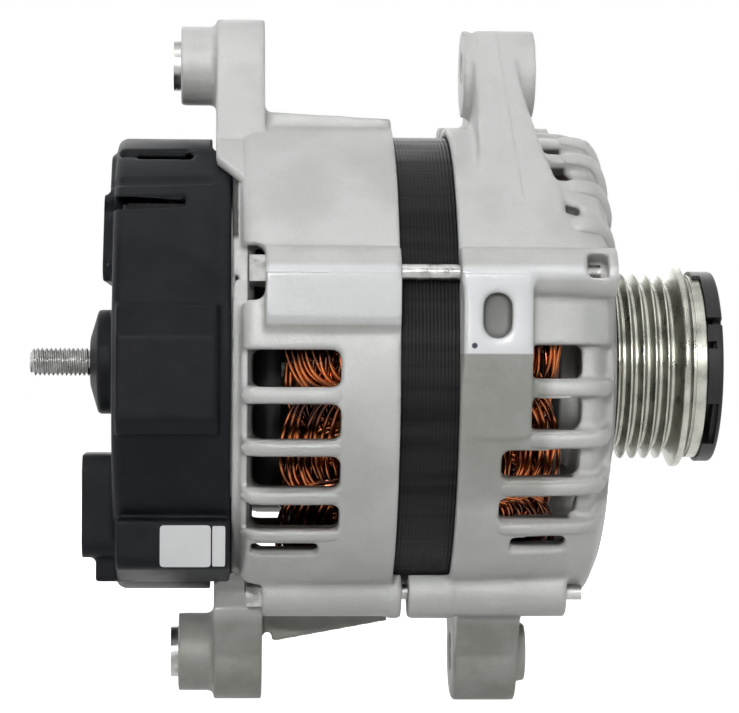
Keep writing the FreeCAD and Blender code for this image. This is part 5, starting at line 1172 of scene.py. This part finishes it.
@dataclass
class Winding:
    """Stator coils: bundles of enamelled wire that loop from slot to slot beyond each end of the core."""

    wardrobe: Wardrobe
    loops_round: int = 12
    layers: int = 3
    wires: int = 12
    wire_radius: float = 0.68 * MM
    inner: float = 54.4 * MM
    outer: float = 60.4 * MM
    front_face: float = -46.0 * MM
    rear_face: float = -84.0 * MM
    front_reach: float = 18.6 * MM
    rear_reach: float = 21.6 * MM
    first_turn: float = 8.0
    steps: int = 26
    sides: int = 6
    bundle_lean: float = 0.05
    nesting: float = 0.17
    wire_stray: float = 0.012
    lowest: float = 0.20
    rise: float = 0.78
    layer_drop: float = 0.06
    sway: float = 0.9 * MM
    wave: float = 0.5 * MM
    heart_spans: tuple[tuple[float, float], ...] = ((-39.4 * MM, 7.4 * MM), (-91.6 * MM, 8.6 * MM))
    heart_level: float = 0.4 * MM
    heart_thick: float = 1.2 * MM

    def loops(self, face: float, outwards: float, reach: float, seed: int) -> np.ndarray:
        """Paths of all the wires at one end.

        Each layer has twelve bundles, and a bundle's wires are nested arcs. With t from 0 to 1 a wire's
        turn is start + sweep * (t - 0.12 sin(2 pi t)), its height beyond the core is its own height
        times sin(pi t) ** 0.55, and its radius is its layer's, one wire up or down by turns, with a
        slow wave. The taller a wire, the wider its sweep, so that the wires lie side by side.

        Args:
            face: x of the core's end.
            outwards: 1 for the front end and -1 for the rear.
            reach: the tallest loop's height.
            seed: seed of the small differences between wires.

        Returns:
            Points as (wire, step, 3).
        """
        chance = np.random.default_rng(seed)
        layer, bundle, wire = (grid.reshape(-1, 1) for grid in np.meshgrid(
            np.arange(self.layers), np.arange(self.loops_round), np.arange(self.wires), indexing="ij"))
        count = layer.size
        rank = wire / (self.wires - 1.0)
        t = np.linspace(0.0, 1.0, self.steps)[None, :]
        pitch = 2.0 * np.pi / self.loops_round
        lean = chance.normal(0.0, self.bundle_lean, (self.layers, self.loops_round))[layer, bundle]
        start = np.radians(self.first_turn) + pitch * (bundle + layer / self.layers)
        spread = pitch * (self.nesting * (rank - 0.5) + chance.normal(0.0, self.wire_stray, (count, 1)))
        start = start - spread + pitch * lean
        sweep = pitch + 2.0 * spread
        turn = start + sweep * (t - 0.12 * np.sin(2.0 * np.pi * t))
        own = reach * (self.lowest + self.rise * rank ** 0.9 - self.layer_drop * layer)
        own = own * chance.uniform(0.97, 1.01, (count, 1))
        height = own * np.sin(np.pi * t) ** 0.55
        sway = np.sin(2.0 * np.pi * (t + chance.uniform(0.0, 1.0, (count, 1))))
        height = height + self.sway * sway * np.sin(np.pi * t)
        level = self.outer - (self.outer - self.inner) * layer / self.layers
        level = level - 2.0 * self.wire_radius * (wire % 2) * chance.uniform(0.5, 1.0, (count, 1))
        phase = chance.uniform(0.0, 1.0, (self.layers, self.loops_round))[layer, bundle]
        wave = self.wave * np.sin(2.0 * np.pi * (t + phase))
        radius = np.minimum(level + wave, self.outer + self.wave)
        x = face + outwards * np.clip(height, -1.0 * MM, reach)
        return about_shaft(x, radius, turn)

    def heart(self) -> Mesh:
        """Painted shade for the bundles' inside at both ends: a near-black closed ring of flat section behind the
        loops.

        Round the section, x is centre + half * sign(c) * |c| ** 0.7 with c = cos(a), and the radius
        is level + thick * sin(a).

        Returns:
            Points and quads of the two rings.
        """
        sides, around = 16, 96
        swing = whole_turn(sides)
        radius = self.inner + self.heart_level + self.heart_thick * np.sin(swing)
        flat = signed_power(np.cos(swing), 0.7)
        points = [turned_points(centre + half * flat, radius, around) for centre, half in self.heart_spans]
        ring = grid_faces(around, sides, True, True)
        return np.vstack(points), np.vstack([ring, ring + sides * around])

    def build(self) -> None:
        """Makes the heart, which stands for the CAD winding, and the loops at each end."""
        points, faces = self.heart()
        heart = with_normals_out(mesh_object("winding_heart", points, faces))
        # painted shade: the heart is near black where the loops shade the winding's inside
        self.wardrobe.piece(heart, Skin.HEART, "housing", "stator_winding")
        for name, face, outwards, reach, seed in (("front_loops", self.front_face, 1.0, self.front_reach, 3),
                                                  ("rear_loops", self.rear_face, -1.0, self.rear_reach, 8)):
            points, faces = tubes(self.loops(face, outwards, reach, seed), self.wire_radius, self.sides)
            self.wardrobe.piece(mesh_object(name, points, faces), Skin.COPPER, "housing")


@dataclass
class BatteryStud:
    """The threaded stud that carries the battery cable, with its head on the heat sink."""

    wardrobe: Wardrobe
    y: float = -30.0 * MM
    z: float = 0.5 * MM
    tip: float = -175.9 * MM
    thread_end: float = -159.2 * MM
    shank_end: float = -131.0 * MM
    head_end: float = -128.6 * MM
    crest: float = 4.0 * MM
    root: float = 3.3 * MM
    neck: float = 3.5 * MM
    pitch: float = 1.25 * MM
    head_radius: float = 8.0 * MM
    head_bevel: float = 0.6 * MM
    chamfer: float = 1.4 * MM
    run_out: float = 0.3 * MM
    flank: float = 1.35
    flat: float = 0.18
    face_share: float = 0.62
    tip_share: float = 0.70
    around: int = 48
    stations: int = 230
    sharp_angle: float = 40.0

    def build(self) -> None:
        """Makes the stud.

        Its radius is root + (crest - root) * ridge, where ridge is flank * saw - flat kept between 0
        and 1, and saw goes evenly between 0 and 1 with x / pitch - turn / (2 pi). Over the tip's
        chamfer that radius grows from tip_share of itself to the whole; beyond the thread comes the neck.
        """
        threaded = np.linspace(self.tip, self.thread_end, self.stations)
        plain = np.array([self.thread_end + self.run_out, self.shank_end, self.shank_end,
                          self.head_end - self.head_bevel, self.head_end, self.head_end])
        plain_girth = np.array([self.neck, self.neck, self.head_radius, self.head_radius,
                                self.head_radius - self.head_bevel, CLOSED])
        turn = np.linspace(0.0, 1.0, self.around, endpoint=False)[:, None]
        saw = np.abs(((threaded[None, :] / self.pitch + turn) % 1.0) - 0.5) * 2.0
        ridge = np.clip(saw * self.flank - self.flat, 0.0, 1.0)
        cone = np.clip((threaded - self.tip) / self.chamfer, 0.0, 1.0) ** 0.6
        girth = (self.root + (self.crest - self.root) * ridge) * (self.tip_share + (1.0 - self.tip_share) * cone)
        girth[:, 0] = self.root * self.face_share
        girth = np.hstack([np.full((self.around, 1), CLOSED), girth,
                           np.broadcast_to(plain_girth, (self.around, plain_girth.size))])
        along = np.concatenate([[self.tip], threaded, plain])
        points = turned_points(along, girth, self.around, self.y, self.z)
        faces = grid_faces(self.around, along.size, True, False)
        stud = with_normals_out(mesh_object("threaded_stud", points, faces))
        split_edges_by_angle(stud, self.sharp_angle)
        self.wardrobe.piece(stud, Skin.ZINC, "housing", "battery_stud")


@dataclass
class Labels:
    """The two bare foil plates on the cover's lower panel."""

    wardrobe: Wardrobe
    face_y: float = -54.0 * MM
    thick: float = 0.12 * MM
    around: int = 64
    corner_power: float = 0.14
    layers: tuple[tuple[float, float], ...] = ((0.01, -1.0), (0.97, -1.0), (1.0, -0.7), (1.0, 0.6), (0.01, 0.6))

    def plate(self, name: str, x: tuple[float, float], z: tuple[float, float]) -> None:
        """Makes one plate with rounded corners.

        Its outline is sign(c) * |c| ** power in x and sign(s) * |s| ** power in z, with c and s the
        cosine and sine round it. Each layer gives the outline's size and its place in y, counted in
        thicknesses from the panel's face.

        Args:
            name: the plate's name.
            x: its rear and front edges.
            z: its lower and upper edges.
        """
        swing = whole_turn(self.around)
        round_x, round_z = (signed_power(wave(swing), self.corner_power) for wave in (np.cos, np.sin))
        middle = np.array([sum(x) / 2, self.face_y, sum(z) / 2])
        half_x, half_z = (x[1] - x[0]) / 2, (z[1] - z[0]) / 2
        rows = [middle + np.stack([round_x * half_x * size, np.full(self.around, self.thick * rise),
                                   round_z * half_z * size], axis=1) for size, rise in self.layers]
        faces = grid_faces(len(self.layers), self.around, False, True)
        plate = with_normals_out(mesh_object(name, np.vstack(rows), faces, smooth=False))
        self.wardrobe.piece(plate, Skin.LABEL, "housing")

    def build(self) -> None:
        """Makes both plates."""
        self.plate("rating_plate", (-138.5 * MM, -124.4 * MM), (-56.2 * MM, -44.6 * MM))
        self.plate("small_plate", (-124.0 * MM, -120.4 * MM), (-56.0 * MM, -44.8 * MM))


@dataclass
class PackedNodes:
    """The CAD nodes that keep their own shape and only get their finish."""

    wardrobe: Wardrobe
    nodes: dict[str, bpy.types.Object]
    finishes: dict[Skin, str] = field(default_factory=lambda: {
        Skin.CAST: "front_housing rear_housing",
        Skin.LAMINATED: "stator_core",
        Skin.PAPER: "slot_liners",
        Skin.COPPER: "stator_winding stator_leads field_coil",
        Skin.ZINC: "through_bolts retainer_screws cover_studs cover_nuts battery_stud upper_slip_bush "
                   "lower_slip_bush bearing_retainer",
        Skin.BEARING: "front_bearing_outer_race front_bearing_inner_race front_bearing_balls "
                      "rear_bearing_outer_race rear_bearing_inner_race rear_bearing_balls clutch_rollers "
                      "support_needles pulley_hub",
        Skin.CAGE: "front_bearing_cage rear_bearing_cage clutch_cage",
        Skin.RUBBER: "front_bearing_seals rear_bearing_seals",
        Skin.SLEEVE: "rear_bearing_sleeve slip_ring_sleeve",
        Skin.ROTOR: "front_claw_pole rear_claw_pole",
        Skin.SHAFT: "rotor_shaft front_spacer",
        Skin.BOBBIN: "field_bobbin",
        Skin.FAN: "front_fan rear_fan",
        Skin.RING: "slip_rings",
        Skin.PULLEY: "pulley_ring",
        Skin.CAP: "pulley_cap",
        Skin.COVER: "rear_cover",
        Skin.SINK: "negative_heat_sink positive_heat_sink regulator_fins",
        Skin.DARK: "terminal_plate rectifier_spacers regulator brush_holder",
        Skin.DIODE: "negative_diodes positive_diodes",
        Skin.CARBON: "positive_brush negative_brush",
        Skin.SPRING: "positive_brush_spring negative_brush_spring",
        Skin.TINNED: "plug_pins",
    })

    def build(self) -> None:
        """Gives every node its finish."""
        for skin, names in self.finishes.items():
            for name in names.split():
                self.wardrobe.dress(self.nodes[name], skin)


# ---------------------------------------------------------------- studio


@dataclass(frozen=True)
class Lamp:
    """A square area lamp.

    Its fields are its name, where it stands, its watts, its width, its beam in degrees and what it faces.
    """

    name: str
    place: Place
    power: float
    size: float
    spread: float = 180.0
    aim: Place = (-0.0779, 0.0, 0.0024)


@dataclass
class Studio:
    """Pale floor, white surround, soft lamps and the photograph's camera."""

    eye: Place = (-0.1234, -0.8989, 0.0024)
    aim: Place = (-0.0779, 0.0, 0.0024)
    lens: float = 148.37
    sensor: float = 36.0
    roll: float = 0.3
    floor_height: float = -0.0990
    floor_reach: float = 4.0
    floor_tone: float = 0.4
    shown_tone: float = 0.80
    shown_glow: float = 0.90
    ambient: float = 0.14
    lamps: tuple[Lamp, ...] = (
        Lamp("key", (-0.30, -1.35, 0.50), 0.40, 0.5, 14.0, (-0.08, 0.0, 0.10)),
        Lamp("sky", (-0.25, -0.62, 1.30), 2.9, 0.5),
        Lamp("crown", (-0.05, 0.1, 1.4), 1.9, 1.2),
        Lamp("back", (-0.10, 1.25, 0.60), 4.5, 1.0),
        Lamp("right", (1.15, 0.40, 0.45), 2.2, 0.8),
        Lamp("left", (-1.30, 0.40, 0.45), 2.2, 0.8))

    def camera(self) -> None:
        """Places the camera: a long lens level with the shaft, with the photograph's slight roll."""
        data = bpy.data.cameras.new("photo_camera")
        data.lens = self.lens
        data.sensor_width = self.sensor
        data.clip_start, data.clip_end = 0.05, 20.0
        bpy.context.scene.camera = self.aimed(placed("photo_camera", data), self.eye, self.aim, self.roll)

    def light(self, lamp: Lamp) -> None:
        """Hangs a lamp.

        Args:
            lamp: the lamp.
        """
        data = bpy.data.lights.new(lamp.name, "AREA")
        data.size = lamp.size
        data.energy = lamp.power
        data.spread = math.radians(lamp.spread)
        self.aimed(placed(lamp.name, data), lamp.place, lamp.aim)

    @staticmethod
    def aimed(thing: bpy.types.Object, place: Place, aim: Place, roll: float = 0.0) -> bpy.types.Object:
        """Puts a camera or lamp at its place and turns it to what it faces.

        Args:
            thing: the camera or lamp.
            place: where it stands.
            aim: what it faces.
            roll: its turn about its line of sight, in degrees.

        Returns:
            The camera or lamp.
        """
        thing.location = place
        thing.rotation_mode = "QUATERNION"
        look = (Vector(aim) - Vector(place)).to_track_quat("-Z", "Y")
        thing.rotation_quaternion = look @ Matrix.Rotation(math.radians(roll), 4, "Z").to_quaternion()
        return thing

    @staticmethod
    def seen(tree: Tree) -> Socket:
        """1 where the camera, a reflection or a clear material looks, and 0 for the light on the object.

        Args:
            tree: the tree that asks.

        Returns:
            The mask's socket.
        """
        ray = tree.add("LightPath")
        return tree.largest(*(ray.outputs["Is %s Ray" % kind] for kind in ("Camera", "Glossy", "Transmission")))

    def floor(self) -> None:
        """A pale floor: plain diffuse for light, and nearly white to the camera, with the shadow kept."""
        edge, low = self.floor_reach, self.floor_height
        sheet = np.array([[-edge, -edge, low], [edge, -edge, low], [edge, edge, low], [-edge, edge, low]])
        floor = mesh_object("floor", sheet, np.array([[0, 1, 2, 3]]), smooth=False)
        material = bpy.data.materials.new("pale_floor")
        material.use_nodes = True
        tree = Tree(material.node_tree.nodes, material.node_tree.links)
        tree.nodes.remove(tree.nodes["Principled BSDF"])
        diffuse, shown = tree.add("BsdfDiffuse"), tree.add("BsdfDiffuse")
        for shader, tone in ((diffuse, self.floor_tone), (shown, self.shown_tone)):
            shader.inputs["Color"].default_value = (tone, tone, tone, 1.0)
        glow = tree.add("Emission")
        glow.inputs["Color"].default_value = (1.0, 1.0, 1.0, 1.0)
        glow.inputs["Strength"].default_value = self.shown_glow
        both = tree.add("AddShader")
        mix = tree.add("MixShader")
        for source, target in ((shown.outputs[0], both.inputs[0]), (glow.outputs[0], both.inputs[1]),
                               (self.seen(tree), mix.inputs[0]), (diffuse.outputs[0], mix.inputs[1]),
                               (both.outputs[0], mix.inputs[2]),
                               (mix.outputs[0], tree.nodes["Material Output"].inputs["Surface"])):
            tree.join(source, target)
        floor.data.materials.append(material)
        floor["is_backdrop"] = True

    def surround(self) -> None:
        """White to the camera and to reflections, and a plain soft light on the object."""
        world = bpy.data.worlds.new("surround")
        bpy.context.scene.world = world
        world.use_nodes = True
        tree = Tree(world.node_tree.nodes, world.node_tree.links)
        background = tree.nodes["Background"]
        background.inputs["Color"].default_value = (1.0, 1.0, 1.0, 1.0)
        tree.join(tree.largest(self.seen(tree), self.ambient), background.inputs["Strength"])

    def build(self) -> None:
        """Sets up the camera, floor, surround and lamps."""
        self.camera()
        self.floor()
        self.surround()
        for lamp in self.lamps:
            self.light(lamp)
        bpy.context.scene.view_settings.view_transform = "Standard"


def corners() -> list[list[float]]:
    """The whole object's box as plain lists of numbers."""
    return [[float(value) for value in corner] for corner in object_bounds()]


def main() -> None:
    """Loads the frame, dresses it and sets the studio."""
    logging.basicConfig(level=logging.INFO, format="%(name)s: %(message)s")
    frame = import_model()
    Studio().build()
    wardrobe, nodes = Wardrobe(), frame["nodes"]
    for assembly in (PackedNodes(wardrobe, nodes), Castings(wardrobe, nodes), VentRibs(wardrobe), EarWeb(wardrobe),
                     ShadeCollar(wardrobe), Winding(wardrobe), BatteryStud(wardrobe), Labels(wardrobe)):
        assembly.build()
        LOG.info("built %s", type(assembly).__name__)


if __name__ == "__main__":
    main()
